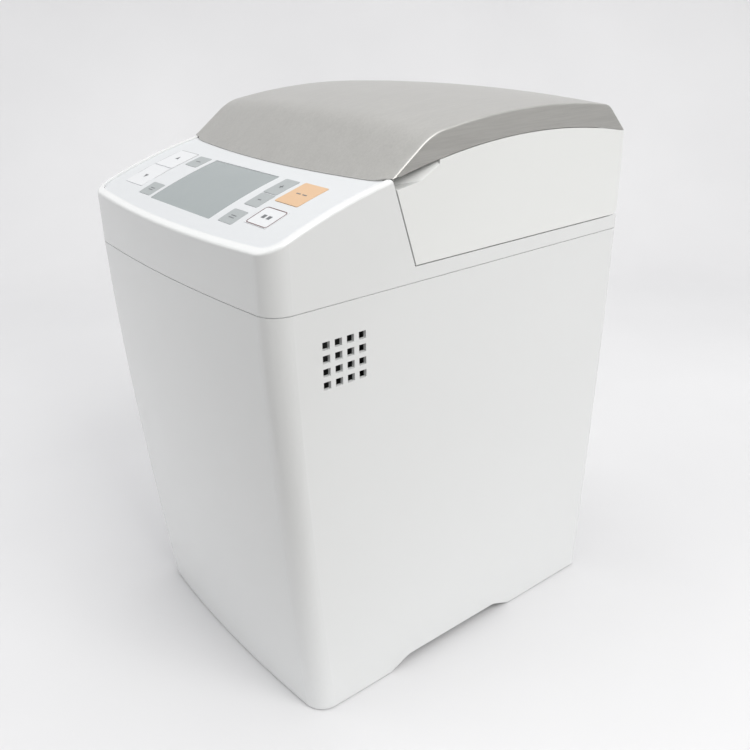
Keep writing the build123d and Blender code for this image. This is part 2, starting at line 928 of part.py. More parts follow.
def shaft_bearings():
    low = bracket_height + bracket_thick - 6
    high = chamber_floor - 1
    lower = tube(0, chamber_y, low, low + bush_tall, bush_radius, shaft_radius + fit_clearance)
    upper = tube(0, chamber_y, high - bush_tall, high, bush_radius, shaft_radius + fit_clearance)
    return Compound(children=[lower, upper])


def drive_shaft():
    return rod(0, chamber_y, pulley_bottom - 2, socket_low + socket_disc, shaft_radius)


def drive_socket():
    disc = rod(0, chamber_y, socket_low, socket_low + socket_disc, socket_radius)
    low = socket_low + socket_disc
    high = low + dog_tall
    for side in (-1, 1):
        y0, y1 = sorted((chamber_y + side * 5.5, chamber_y + side * 11.5))
        disc = disc + box(-dog_wide / 2, dog_wide / 2, y0, y1, low, high)
    return disc - rod(0, chamber_y, 60, low, shaft_radius)


def pulley(x, y, radius, bore, flange):
    groove = tube(x, y, pulley_bottom, pulley_bottom + pulley_tall, radius, bore)
    lower = tube(x, y, pulley_bottom, pulley_bottom + 1.2, radius + flange, bore)
    top = pulley_bottom + pulley_tall
    upper = tube(x, y, top - 1.2, top, radius + flange, bore)
    return groove + lower + upper


def large_pulley():
    wheel = pulley(0, chamber_y, large_pulley_radius, shaft_radius, 2.0)
    for step in range(5):
        angle = math.radians(72 * step)
        x = 27 * math.cos(angle)
        y = chamber_y + 27 * math.sin(angle)
        wheel = wheel - rod(x, y, 50, 80, 10)
    return wheel


def motor_pulley():
    return pulley(0, motor_y, small_pulley_radius, motor_shaft_radius, 2.0)


def belt_outline(extra):
    """The outline of a belt stretched round both pulleys, grown by extra."""
    big = large_pulley_radius + belt_clearance + extra
    small = small_pulley_radius + belt_clearance + extra
    span = chamber_y - motor_y
    lean = math.asin((big - small) / span)
    c, s = math.cos(lean), math.sin(lean)
    big_right = (big * c, chamber_y - big * s)
    small_right = (small * c, motor_y - small * s)
    big_left = (-big_right[0], big_right[1])
    small_left = (-small_right[0], small_right[1])
    return make_face(
        [
            ThreePointArc(big_right, (0, chamber_y + big), big_left),
            Line(big_left, small_left),
            ThreePointArc(small_left, (0, motor_y - small), small_right),
            Line(small_right, big_right),
        ]
    )


def drive_belt():
    band = belt_outline(belt_thick) - belt_outline(0)
    low = pulley_bottom + (pulley_tall - belt_wide) / 2
    return Pos(0, 0, low) * extrude(band, belt_wide)


def motor_screw_places():
    x = motor_wide / 2 - 7
    y = motor_deep / 2 - 7
    return [(sx, motor_y + sy) for sx in (-x, x) for sy in (-y, y)]


motor_low = bracket_height + bracket_thick


def motor_body():
    core = rounded_block(0, motor_y, motor_wide, motor_deep, motor_low, motor_low + motor_tall, 6)
    core = core - rod(0, motor_y, motor_low - 1, motor_low + motor_tall + 1, 9)
    core = core - box(-motor_wide, motor_wide, motor_y - 12, motor_y + 12, motor_low + 12,
                      motor_low + motor_tall - 12)
    core = core + tube(0, motor_y, motor_low, motor_low + 8, 12, motor_shaft_radius + fit_clearance)
    high = motor_low + motor_tall
    core = core + tube(0, motor_y, high - 8, high, 12, motor_shaft_radius + fit_clearance)
    for x, y in motor_screw_places():
        core = core - rod(x, y, motor_low - 1, motor_low + 12, screw_radius)
    return core


def motor_shaft():
    high = motor_low + motor_tall
    shaft = rod(0, motor_y, pulley_bottom - 1, high + 14, motor_shaft_radius)
    return shaft + rod(0, motor_y, motor_low + 13, high - 13, 7.5)


def motor_fan():
    low = motor_low + motor_tall + 3
    fan = tube(0, motor_y, low, low + 10, 8, motor_shaft_radius)
    for step in range(7):
        blade = Pos(17, 0, 0) * Rot(28, 0, 0) * Box(20, 11, 1.4)
        place = Pos(0, motor_y, low + 5) * Rot(0, 0, 360 * step / 7)
        fan = fan + place * blade
    return fan


def motor_screws():
    parts = []
    for x, y in motor_screw_places():
        head = rod(x, y, bracket_height - screw_head_tall, bracket_height, screw_head_radius)
        parts.append(head + rod(x, y, bracket_height, motor_low + 10, screw_radius))
    return Compound(children=parts)


# ---- power electronics on the base plate ----
power_board_z = 24.0
power_board_y = -88.0
power_board_wide = 164.0
power_board_deep = 58.0


def standoff_places():
    x = power_board_wide / 2 - 6
    y = power_board_deep / 2 - 6
    return [(sx, power_board_y + sy) for sx in (-x, x) for sy in (-y, y)]


def power_board():
    z1 = power_board_z + board_thick
    board = rounded_block(
        0, power_board_y, power_board_wide, power_board_deep, power_board_z, z1, 3
    )
    return board


def board_standoffs():
    return Compound(
        children=[rod(x, y, base_top, power_board_z, 3.5) for x, y in standoff_places()]
    )


def transformer():
    z = power_board_z + board_thick
    core = box(-64, -28, power_board_y - 15, power_board_y + 15, z, z + 24)
    coil = box(-58, -34, power_board_y - 19, power_board_y + 19, z + 4, z + 20)
    return core + coil


def power_parts():
    z = power_board_z + board_thick
    tall_caps = [rod(x, power_board_y + 8, z, z + 22, 7) for x in (0, 18)]
    relays = [box(x, x + 14, power_board_y - 18, power_board_y + 2, z, z + 16) for x in (34, 52)]
    block = box(-16, 22, power_board_y - 22, power_board_y - 10, z, z + 12)
    return Compound(children=tall_caps + relays + [block])


# ---- lid ----
def cover_edge_height(y):
    return cover_edge_peak_z - (y - cover_edge_peak_y) ** 2 / (2 * cover_edge_radius)


def lid_wall_block(back, raise_by, half):
    """The lid below the cover's edge: slanted front, arched top, rounded heel."""
    lead = slant_foot_y + lid_gap + back
    front_z = cover_edge_height(rim_rear_y) + raise_by
    front_y = lead - (front_z - lid_bottom) * slant_run
    rear_z = cover_edge_height(cover_rear_y) + raise_by
    middle_z = cover_edge_height(cover_edge_peak_y) + raise_by
    rear_y = half_depth - back
    heel = hinge_radius - back
    diagonal = heel * math.sqrt(0.5)
    heel_start = (rear_y, hinge_z)
    heel_end = (hinge_y, hinge_z - heel)
    heel_middle = (hinge_y + diagonal, hinge_z - diagonal)
    edge = ThreePointArc(
        (front_y, front_z), (cover_edge_peak_y, middle_z), (cover_rear_y - back, rear_z)
    )
    down = Polyline((cover_rear_y - back, rear_z), (rear_y, lid_rear_break_z), heel_start)
    round_heel = ThreePointArc(heel_start, heel_middle, heel_end)
    close = Polyline(heel_end, (lead, hinge_z - heel), (front_y, front_z))
    return side_prism([edge, down, round_heel, close], half)


def lid_knuckles():
    reach = lug_wide / 2 + knuckle_clearance
    inner0 = lug_middle_x - reach - knuckle_wide
    outer0 = lug_middle_x + reach
    parts = None
    for x0 in (inner0, outer0):
        x1 = x0 + knuckle_wide
        knuckle = rod_along_x(x0, x1, hinge_y, hinge_z, knuckle_radius)
        web = box(x0, x1, hinge_y, hinge_y + hinge_radius - 1, hinge_z, hinge_z + 14)
        piece = knuckle + web
        parts = piece if parts is None else parts + piece
    return parts


lid_boss_x = 107.5
lid_boss_radius = 5.0
plate_bottom = lid_bottom + 0.8
plate_top = plate_bottom + lid_sheet


def lid_boss_places():
    return [(x, y) for x in (-lid_boss_x, lid_boss_x) for y in (-24.0, 112.0)]


grip_front = (-56.3, 354.6)
grip_ledge_end = (-38.8, 357.4)
grip_rear = (-25.0, 364.9)
grip_depth = 11.0
grip_limit = 12.0


def grip_pocket():
    """Finger scoop in the lid's side: deep at the slanted joint, fading out rearwards."""
    ledge_slope = (grip_ledge_end[1] - grip_front[1]) / (grip_ledge_end[0] - grip_front[0])
    lead_y = -70.0
    lead_z = grip_front[1] + ledge_slope * (lead_y - grip_front[0])
    high = 380.0
    outline = Polyline(
        (lead_y, lead_z),
        grip_ledge_end,
        grip_rear,
        (grip_rear[0], high),
        (lead_y, high),
        close=True,
    )
    block = extrude(Plane.YZ.offset(half_width - grip_limit) * make_face(outline), grip_limit + 5)
    end = Vector(half_width, *grip_ledge_end)
    rear = Vector(half_width, *grip_rear)
    deepest = Vector(half_width - grip_depth, *grip_front)
    back_face = Plane(origin=end, z_dir=(rear - end).cross(deepest - end))
    return split(block, bisect_by=back_face, keep=Keep.TOP)


def lid_shell():
    outside = straight_body(0, lid_bottom, 385) & lid_wall_block(0, -cover_gap / 2, width)
    inside = straight_body(wall, lid_bottom - 5, 390)
    cavity = inside & lid_wall_block(wall, cover_thick + crown, width)
    foot_y = slant_foot_y + lid_gap + wall
    mouth = box(-width, width, foot_y, lid_mouth_rear, lid_bottom - 5, hinge_z)
    cavity = cavity + (inside & mouth)
    backing = box(half_width - grip_limit - 2, half_width - 1, -62, -20, 344, 372)
    backing = backing & lid_wall_block(0, -cover_gap / 2, width)
    shell = outside - cavity
    shell = shell + both_sides(backing) - both_sides(grip_pocket())
    shell = shell + both_sides(lid_knuckles())
    notch_half = lug_wide / 2 + knuckle_clearance
    notch = box(
        lug_middle_x - notch_half,
        lug_middle_x + notch_half,
        hinge_y - hinge_radius - 3,
        half_depth + 5,
        lid_bottom - 5,
        hinge_z + hinge_radius + 1,
    )
    shell = shell - both_sides(notch)
    for x, y in lid_boss_places():
        shell = shell + rod(x, y, plate_top, plate_top + 30, lid_boss_radius)
        shell = shell - rod(x, y, plate_top - 1, plate_top + 14, screw_radius)
    bore = rod_along_x(0, 100, hinge_y, hinge_z, pin_radius + pin_clearance)
    return shell - both_sides(bore)


def hinge_pins():
    reach = lug_wide / 2 + knuckle_clearance + knuckle_wide
    pin = rod_along_x(lug_middle_x - reach, lug_middle_x + reach, hinge_y, hinge_z, pin_radius)
    return Compound(children=[pin, mirror(pin, about=Plane.YZ)])


def crowned_top(skin):
    """The cover's outside: sloped brow, arched top and rear slope, crowned across."""
    brow_z = top_peak_z - (brow_y - top_peak_y) ** 2 / (2 * top_radius)
    rear_z = top_peak_z - (top_rear_y - top_peak_y) ** 2 / (2 * top_radius)
    tip_y = brow_y - 52
    tip_z = brow_z - 52 * brow_slope
    tail_y = cover_rear_y
    tail_z = cover_rear_z + crown
    low = 330.0
    arc = ThreePointArc((brow_y, brow_z), (top_peak_y, top_peak_z), (top_rear_y, rear_z))
    rest = Polyline(
        (top_rear_y, rear_z),
        (tail_y, tail_z),
        (tail_y, low),
        (tip_y, low),
        (tip_y, tip_z),
        (brow_y, brow_z),
    )
    face = make_face([arc, rest])
    corners = face.vertices().sort_by(Axis.Y)
    high_corners = [v for v in corners if v.Y > brow_z - 3]
    front_corner = [v for v in high_corners if v.X < 0]
    face = fillet(front_corner, brow_radius)
    rear_corner = [v for v in face.vertices() if abs(v.X - top_rear_y) < 0.01]
    face = fillet(rear_corner, rear_break_radius)
    if skin > 0:
        face = offset(face, amount=-skin)
    axis = Axis((0, 0, crown_axis_z), (0, 1, 0))
    turn = math.degrees(math.asin((half_width + 4) / (top_peak_z - crown_axis_z)))
    start = (Plane.YZ * face).rotate(axis, -turn)
    return revolve(start, axis, revolution_arc=2 * turn)


def cover_skin():
    outer = crowned_top(0) & straight_body(0, 340, 400)
    outer = outer - lid_wall_block(-cover_gap, cover_gap / 2, width)
    outer = outer - console_clear()
    return outer


def console_clear():
    """The console grown by the lid's gap: the room that the cover's lip leaves."""
    inner_edge = body_outline(0, 0, 0, rim_wide + cover_gap)
    inside = Pos(0, 0, seam_height) * extrude(inner_edge, 100)
    rims = console_block(-cover_gap, 0, width) - inside
    bed = console_block(panel_drop - cover_gap, 0, width)
    return rims + bed


def cover_strip(extra):
    return box(
        -vent_strip_half - extra,
        vent_strip_half + extra,
        vent_strip_y - vent_strip_wide / 2 - extra,
        vent_strip_y + vent_strip_wide / 2 + extra,
        380 - vent_strip_depth,
        400,
    )


def lid_cover():
    outer = cover_skin()
    inner = crowned_top(cover_thick) & straight_body(cover_thick, 335, 400)
    return outer - inner - cover_strip(0)


def steam_vent():
    strip = cover_strip(-strip_clearance) & crowned_top(0.3)
    for step in range(12):
        x = -66 + 12 * step
        strip = strip - box(x - 4, x + 4, vent_strip_y - 0.8, vent_strip_y + 0.8, 360, 400)
    return strip


def lid_inner_plate():
    x = half_width - wall - 0.4
    y_front = slant_foot_y + lid_gap + wall + 1.2
    y_rear = lid_mouth_rear
    plate = Pos(0, (y_front + y_rear) / 2, plate_bottom) * extrude(
        RectangleRounded(2 * x, y_rear - y_front, 3), lid_sheet
    )
    dome_y = (lid_dome_front + lid_dome_rear) / 2
    dome_deep = lid_dome_rear - lid_dome_front
    dome = rounded_block(
        0,
        dome_y,
        2 * lid_dome_half + 2 * lid_sheet,
        dome_deep + 2 * lid_sheet,
        plate_bottom,
        dome_skin_top,
        14 + lid_sheet,
    )
    dome = fillet(dome.edges().group_by(Axis.Z)[-1], 6.0)
    inside = rounded_block(
        0, dome_y, 2 * lid_dome_half, dome_deep, plate_bottom - 5, lid_dome_top, 14
    )
    inside = fillet(inside.edges().group_by(Axis.Z)[-1], 4.5)
    plate = plate + dome - inside
    window = box(
        -dispenser_wide / 2 - 4,
        dispenser_wide / 2 + 4,
        dispenser_front - 4,
        dispenser_rear + 8,
        lid_dome_top - 2,
        dome_skin_top + 2,
    )
    plate = plate - window
    for x, y in lid_boss_places():
        plate = plate - rod(x, y, plate_bottom - 2, plate_top + 2, screw_radius)
    return plate


def lid_seal():
    high = plate_bottom
    low = deck_height + 0.35
    room = lid_mouth_rear - seal_gap - (chamber_y + chamber_deep / 2)
    deep = chamber_deep + 2 * min(seal_reach, room)
    outer = rounded_block(0, chamber_y, chamber_wide + 18, deep, low, high, 30)
    inner = rounded_block(0, chamber_y, chamber_wide + 8, chamber_deep + 4, low - 1, high + 1, 26)
    return outer - inner


def lid_screws():
    parts = []
    for x, y in lid_boss_places():
        head = rod(x, y, plate_bottom - 1.1, plate_bottom, screw_head_radius - 0.6)
        parts.append(head + rod(x, y, plate_bottom, plate_top + 13, screw_radius))
    return Compound(children=parts)


flap_hinge_y = dispenser_rear + 3.0
flap_hinge_z = lid_dome_top + 1.0


def dispenser_box():
    low = flap_hinge_z + flap_barrel_radius + 0.6
    high = low + dispenser_tall
    x = dispenser_wide / 2
    shell = box(-x - 5, x + 5, dispenser_front - 5, dispenser_rear + 9, low, high)
    inside = box(-x + 1, x - 1, dispenser_front + 1, dispenser_rear - 1, low - 5, high - 2)
    shell = shell - inside
    foot = box(
        -x - 14, x + 14, dispenser_front - 14, dispenser_rear + 18, dome_skin_top, low + 0.5
    )
    foot = foot - box(-x - 4, x + 4, dispenser_front - 4, dispenser_rear + 8, low - 5, low + 5)
    box_with_lugs = shell + foot
    for side in (-1, 1):
        x0, x1 = sorted((side * (x - 2), side * (x + 3.5)))
        lug = box(x0, x1, flap_hinge_y - 2.5, flap_hinge_y + 2.5, flap_hinge_z - 2, low)
        box_with_lugs = box_with_lugs + lug
    return box_with_lugs + rod_along_x(-x - 2, x + 2, flap_hinge_y, flap_hinge_z, flap_pin_radius)


def dispenser_flap():
    x = dispenser_wide / 2 - 2.6
    low = flap_hinge_z - 1
    plate = box(-x, x, dispenser_front, flap_hinge_y, low, low + flap_thick)
    barrel = rod_along_x(-x, x, flap_hinge_y, flap_hinge_z, flap_barrel_radius)
    bore = flap_pin_radius + fit_clearance
    return plate + barrel - rod_along_x(-x - 5, x + 5, flap_hinge_y, flap_hinge_z, bore)


def dispenser_solenoid():
    low = dome_skin_top
    body = box(44, 62, 4, 34, low, low + 22)
    return body + rod_along_y(53, 34, 42, low + 11, 4)


# ---- write every piece ----
pieces = {
    "lower_housing": lower_housing,
    "base_plate": base_plate,
    "rubber_feet": rubber_feet,
    "base_screws": base_screws,
    "rear_cover": rear_cover,
    "rear_screws": rear_screws,
    "cord_gland": cord_gland,
    "upper_frame": upper_frame,
    "control_overlay": control_overlay,
    "lcd_window": lcd_window,
    "lcd_module": lcd_module,
    "control_board": control_board,
    "key_switches": key_switches,
    "baking_chamber": baking_chamber,
    "chamber_screws": chamber_screws,
    "heater": heater,
    "heater_clips": heater_clips,
    "temperature_sensor": temperature_sensor,
    "pan_mount": pan_mount,
    "bread_pan": bread_pan,
    "pan_handle": pan_handle,
    "pan_shaft": pan_shaft,
    "pan_coupling": pan_coupling,
    "pan_seal": pan_seal,
    "kneading_blade": kneading_blade,
    "chassis_posts": chassis_posts,
    "drive_bracket": drive_bracket,
    "shaft_bearings": shaft_bearings,
    "drive_shaft": drive_shaft,
    "drive_socket": drive_socket,
    "large_pulley": large_pulley,
    "motor_pulley": motor_pulley,
    "drive_belt": drive_belt,
    "motor_body": motor_body,
    "motor_shaft": motor_shaft,
    "motor_fan": motor_fan,
    "motor_screws": motor_screws,
    "power_board": power_board,
    "board_standoffs": board_standoffs,
    "transformer": transformer,
    "power_parts": power_parts,
    "lid_shell": lid_shell,
    "hinge_pins": hinge_pins,
    "lid_cover": lid_cover,
    "steam_vent": steam_vent,
    "lid_inner_plate": lid_inner_plate,
    "lid_seal": lid_seal,
    "lid_screws": lid_screws,
    "dispenser_box": dispenser_box,
    "dispenser_flap": dispenser_flap,
    "dispenser_solenoid": dispenser_solenoid,
}

os.makedirs("parts", exist_ok=True)
for name, make in pieces.items():
    export_step(make(), f"parts/{name}.step")
for name in keys:
    export_step(key(name), f"parts/{name}.step")
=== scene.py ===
import bpy
import math
from mathutils import Matrix, Vector


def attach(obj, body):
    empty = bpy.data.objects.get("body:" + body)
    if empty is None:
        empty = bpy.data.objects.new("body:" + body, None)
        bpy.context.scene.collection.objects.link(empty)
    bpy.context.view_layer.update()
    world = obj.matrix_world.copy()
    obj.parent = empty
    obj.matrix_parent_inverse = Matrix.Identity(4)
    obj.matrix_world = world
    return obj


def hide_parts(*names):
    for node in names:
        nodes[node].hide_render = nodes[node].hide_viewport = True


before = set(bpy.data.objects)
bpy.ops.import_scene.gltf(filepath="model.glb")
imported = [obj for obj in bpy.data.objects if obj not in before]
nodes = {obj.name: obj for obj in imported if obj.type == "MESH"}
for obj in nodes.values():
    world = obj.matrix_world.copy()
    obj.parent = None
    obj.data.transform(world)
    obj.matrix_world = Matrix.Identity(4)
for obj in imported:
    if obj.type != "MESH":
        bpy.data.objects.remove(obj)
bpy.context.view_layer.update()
bpy.ops.object.select_all(action="DESELECT")
print("frame loaded:", len(nodes), "nodes")

# the body's own curves, in metres, shared by the pieces laid on it
bodyShape = {
    "halfWidth": 0.115,
    "rimRearY": -0.0605,
    "rimRearZ": 0.3605,
    "rimSlope": 0.1917,
    "rimCurve": 1.595,
    "panelDrop": 0.0014,
    "rimWide": 0.0044,
    "halfDepth": 0.151,
    "frontBow": 0.0057,
    "frontCorner": 0.015,
    "seam": 0.297,
    "bedReach": 0.0015,
    "bedBlend": 0.012,
}


def rimHeight(y):
    run = y - bodyShape["rimRearY"]
    rise = bodyShape["rimSlope"] * run
    return bodyShape["rimRearZ"] + rise - bodyShape["rimCurve"] * run ** 2


def panelLean(y):
    run = y - bodyShape["rimRearY"]
    return math.atan(bodyShape["rimSlope"] - 2 * bodyShape["rimCurve"] * run)


def panelPlace(x, y, lift=0.0):
    # a matrix on the control panel, its z along the panel's normal
    lean = panelLean(y)
    sink = bodyShape["panelDrop"] - lift
    place = Vector((x, y + sink * math.sin(lean), rimHeight(y) - sink * math.cos(lean)))
    return Matrix.Translation(place) @ Matrix.Rotation(lean, 4, "X")


# shader groups
def addNode(tree, kind, place, **settings):
    node = tree.nodes.new(kind)
    node.location = place
    for name, value in settings.items():
        if hasattr(node, name):
            setattr(node, name, value)
        else:
            node.inputs[name.replace("_", " ")].default_value = value
    return node


def newGroup(name, inputs, outputs):
    tree = bpy.data.node_groups.new(name, "ShaderNodeTree")
    for label, kind, value in inputs:
        socket = tree.interface.new_socket(name=label, in_out="INPUT", socket_type=kind)
        socket.default_value = value
    for label, kind in outputs:
        tree.interface.new_socket(name=label, in_out="OUTPUT", socket_type=kind)
    start = addNode(tree, "NodeGroupInput", (-900, 0))
    end = addNode(tree, "NodeGroupOutput", (700, 0))
    return tree, start, end


def noiseNode(tree, vector, place, scale, detail=3.0, rough=0.55):
    node = addNode(tree, "ShaderNodeTexNoise", place)
    node.inputs["Detail"].default_value = detail
    node.inputs["Roughness"].default_value = rough
    if isinstance(scale, (int, float)):
        node.inputs["Scale"].default_value = scale
    else:
        tree.links.new(scale, node.inputs["Scale"])
    tree.links.new(vector, node.inputs["Vector"])
    return node


def rangeNode(tree, value, place, low, high, fromLow=0.3, fromHigh=0.7):
    node = addNode(tree, "ShaderNodeMapRange", place)
    node.inputs["From Min"].default_value = fromLow
    node.inputs["From Max"].default_value = fromHigh
    for label, bound in (("To Min", low), ("To Max", high)):
        if isinstance(bound, (int, float)):
            node.inputs[label].default_value = bound
        else:
            tree.links.new(bound, node.inputs[label])
    tree.links.new(value, node.inputs["Value"])
    return node.outputs["Result"]


def mixColor(tree, factor, first, second, place, blend="MIX"):
    node = addNode(tree, "ShaderNodeMix", place, data_type="RGBA", blend_type=blend)
    for index, value in ((0, factor), (6, first), (7, second)):
        if hasattr(value, "is_linked"):
            tree.links.new(value, node.inputs[index])
        else:
            node.inputs[index].default_value = value
    return node.outputs[2]


def mathNode(tree, operation, first, second, place):
    node = addNode(tree, "ShaderNodeMath", place, operation=operation)
    for index, value in enumerate((first, second)):
        if hasattr(value, "is_linked"):
            tree.links.new(value, node.inputs[index])
        else:
            node.inputs[index].default_value = value
    return node.outputs[0]


def bumpNode(tree, height, place, strength, distance):
    node = addNode(tree, "ShaderNodeBump", place)
    node.inputs["Strength"].default_value = strength
    node.inputs["Distance"].default_value = distance
    tree.links.new(height, node.inputs["Height"])
    return node.outputs["Normal"]


def mouldedGroup():
    # moulded plastic: slow tone drift, handling smudges, a faint orange-peel skin and dust specks
    tree, start, end = newGroup(
        "mouldedSkin",
        [("Color", "NodeSocketColor", (0.8, 0.8, 0.8, 1)), ("Shade", "NodeSocketColor", (0.7, 0.7, 0.7, 1)),
         ("Gloss", "NodeSocketFloat", 0.25), ("Smudge", "NodeSocketFloat", 0.4),
         ("Grain", "NodeSocketFloat", 900.0), ("Relief", "NodeSocketFloat", 0.05)],
        [("Color", "NodeSocketColor"), ("Roughness", "NodeSocketFloat"), ("Normal", "NodeSocketVector")],
    )
    coords = addNode(tree, "ShaderNodeTexCoord", (-900, 300)).outputs["Object"]
    drift = noiseNode(tree, coords, (-650, 300), 5.0, 2.0)
    smudge = noiseNode(tree, coords, (-650, 50), 16.0, 3.0, 0.5)
    grain = noiseNode(tree, coords, (-650, -200), start.outputs["Grain"], 2.0)
    specks = noiseNode(tree, coords, (-650, -450), 620.0, 1.0)
    toned = mixColor(tree, rangeNode(tree, drift.outputs["Fac"], (-400, 300), 0.0, 0.55, 0.2, 0.8),
                     start.outputs["Color"], start.outputs["Shade"], (-100, 300))
    speckMask = rangeNode(tree, specks.outputs["Fac"], (-400, -450), 0.0, 0.12, 0.74, 0.84)
    spotted = mixColor(tree, speckMask, toned, start.outputs["Shade"], (150, 300))
    rough = rangeNode(tree, smudge.outputs["Fac"], (-100, 50), start.outputs["Gloss"],
                      start.outputs["Smudge"], 0.1, 0.9)
    height = mathNode(tree, "MULTIPLY", grain.outputs["Fac"], start.outputs["Relief"], (-100, -200))
    normal = bumpNode(tree, height, (200, -200), 0.35, 0.001)
    tree.links.new(spotted, end.inputs["Color"])
    tree.links.new(rough, end.inputs["Roughness"])
    tree.links.new(normal, end.inputs["Normal"])
    return tree


def brushedGroup():
    # fine parallel brushing: long thin streaks in tone, sheen and relief
    tree, start, end = newGroup(
        "brushedGrain",
        [("Vector", "NodeSocketVector", (0, 0, 0)), ("Color", "NodeSocketColor", (0.6, 0.6, 0.6, 1)),
         ("Shade", "NodeSocketColor", (0.4, 0.4, 0.4, 1)), ("Gloss", "NodeSocketFloat", 0.3),
         ("Dull", "NodeSocketFloat", 0.45), ("Relief", "NodeSocketFloat", 0.12)],
        [("Color", "NodeSocketColor"), ("Roughness", "NodeSocketFloat"), ("Normal", "NodeSocketVector")],
    )
    vector = start.outputs["Vector"]
    streaks = noiseNode(tree, vector, (-650, 250), 60.0, 5.0, 0.7)
    broad = noiseNode(tree, vector, (-650, 0), 9.0, 3.0)
    coords = addNode(tree, "ShaderNodeTexCoord", (-900, -300)).outputs["Object"]
    haze = noiseNode(tree, coords, (-650, -300), 14.0, 3.0)
    mixed = mathNode(tree, "ADD", mathNode(tree, "MULTIPLY", streaks.outputs["Fac"], 0.75, (-400, 250)),
                     mathNode(tree, "MULTIPLY", broad.outputs["Fac"], 0.25, (-400, 50)), (-250, 150))
    color = mixColor(tree, rangeNode(tree, mixed, (-100, 250), 0.0, 1.0, 0.36, 0.64),
                     start.outputs["Shade"], start.outputs["Color"], (100, 250))
    rough = rangeNode(tree, mixed, (-100, 0), start.outputs["Gloss"], start.outputs["Dull"])
    hazed = mathNode(tree, "ADD", rough, rangeNode(tree, haze.outputs["Fac"], (-100, -300), -0.03, 0.05),
                     (200, 0))
    height = mathNode(tree, "MULTIPLY", streaks.outputs["Fac"], start.outputs["Relief"], (-100, -150))
    tree.links.new(color, end.inputs["Color"])
    tree.links.new(hazed, end.inputs["Roughness"])
    tree.links.new(bumpNode(tree, height, (300, -200), 0.5, 0.001), end.inputs["Normal"])
    return tree


mouldedSkin = mouldedGroup()
brushedGrain = brushedGroup()


def newMaterial(name):
    material = bpy.data.materials.new(name)
    material.use_nodes = True
    tree = material.node_tree
    shader = tree.nodes["Principled BSDF"]
    return material, tree, shader


def joinGroup(tree, shader, group):
    tree.links.new(group.outputs["Color"], shader.inputs["Base Color"])
    tree.links.new(group.outputs["Roughness"], shader.inputs["Roughness"])
    tree.links.new(group.outputs["Normal"], shader.inputs["Normal"])


def mouldedMaterial(name, look):
    material, tree, shader = newMaterial(name)
    group = addNode(tree, "ShaderNodeGroup", (-300, 0), node_tree=mouldedSkin)
    group.inputs["Color"].default_value = (*look["color"], 1)
    group.inputs["Shade"].default_value = (*look["shade"], 1)
    group.inputs["Gloss"].default_value = look["gloss"]
    group.inputs["Smudge"].default_value = look["smudge"]
    group.inputs["Grain"].default_value = look.get("grain", 900.0)
    group.inputs["Relief"].default_value = look.get("relief", 0.05)
    joinGroup(tree, shader, group)
    shader.inputs["IOR"].default_value = look.get("ior", 1.5)
    shader.inputs["Coat Weight"].default_value = look.get("coat", 0.0)
    shader.inputs["Coat Roughness"].default_value = look.get("coatRough", 0.08)
    shader.inputs["Metallic"].default_value = look.get("metal", 0.0)
    return material


def brushedMaterial(name, look):
    material, tree, shader = newMaterial(name)
    coords = addNode(tree, "ShaderNodeTexCoord", (-900, 0))
    mapping = addNode(tree, "ShaderNodeMapping", (-700, 0))
    mapping.inputs["Scale"].default_value = look["stretch"]
    tree.links.new(coords.outputs["Object"], mapping.inputs["Vector"])
    group = addNode(tree, "ShaderNodeGroup", (-400, 0), node_tree=brushedGrain)
    tree.links.new(mapping.outputs["Vector"], group.inputs["Vector"])
    group.inputs["Color"].default_value = (*look["color"], 1)
    group.inputs["Shade"].default_value = (*look["shade"], 1)
    group.inputs["Gloss"].default_value = look["gloss"]
    group.inputs["Dull"].default_value = look["dull"]
    group.inputs["Relief"].default_value = look.get("relief", 0.12)
    joinGroup(tree, shader, group)
    shader.inputs["Metallic"].default_value = look.get("metal", 1.0)
    shader.inputs["Coat Weight"].default_value = look.get("coat", 0.0)
    shader.inputs["Coat Roughness"].default_value = 0.2
    return material


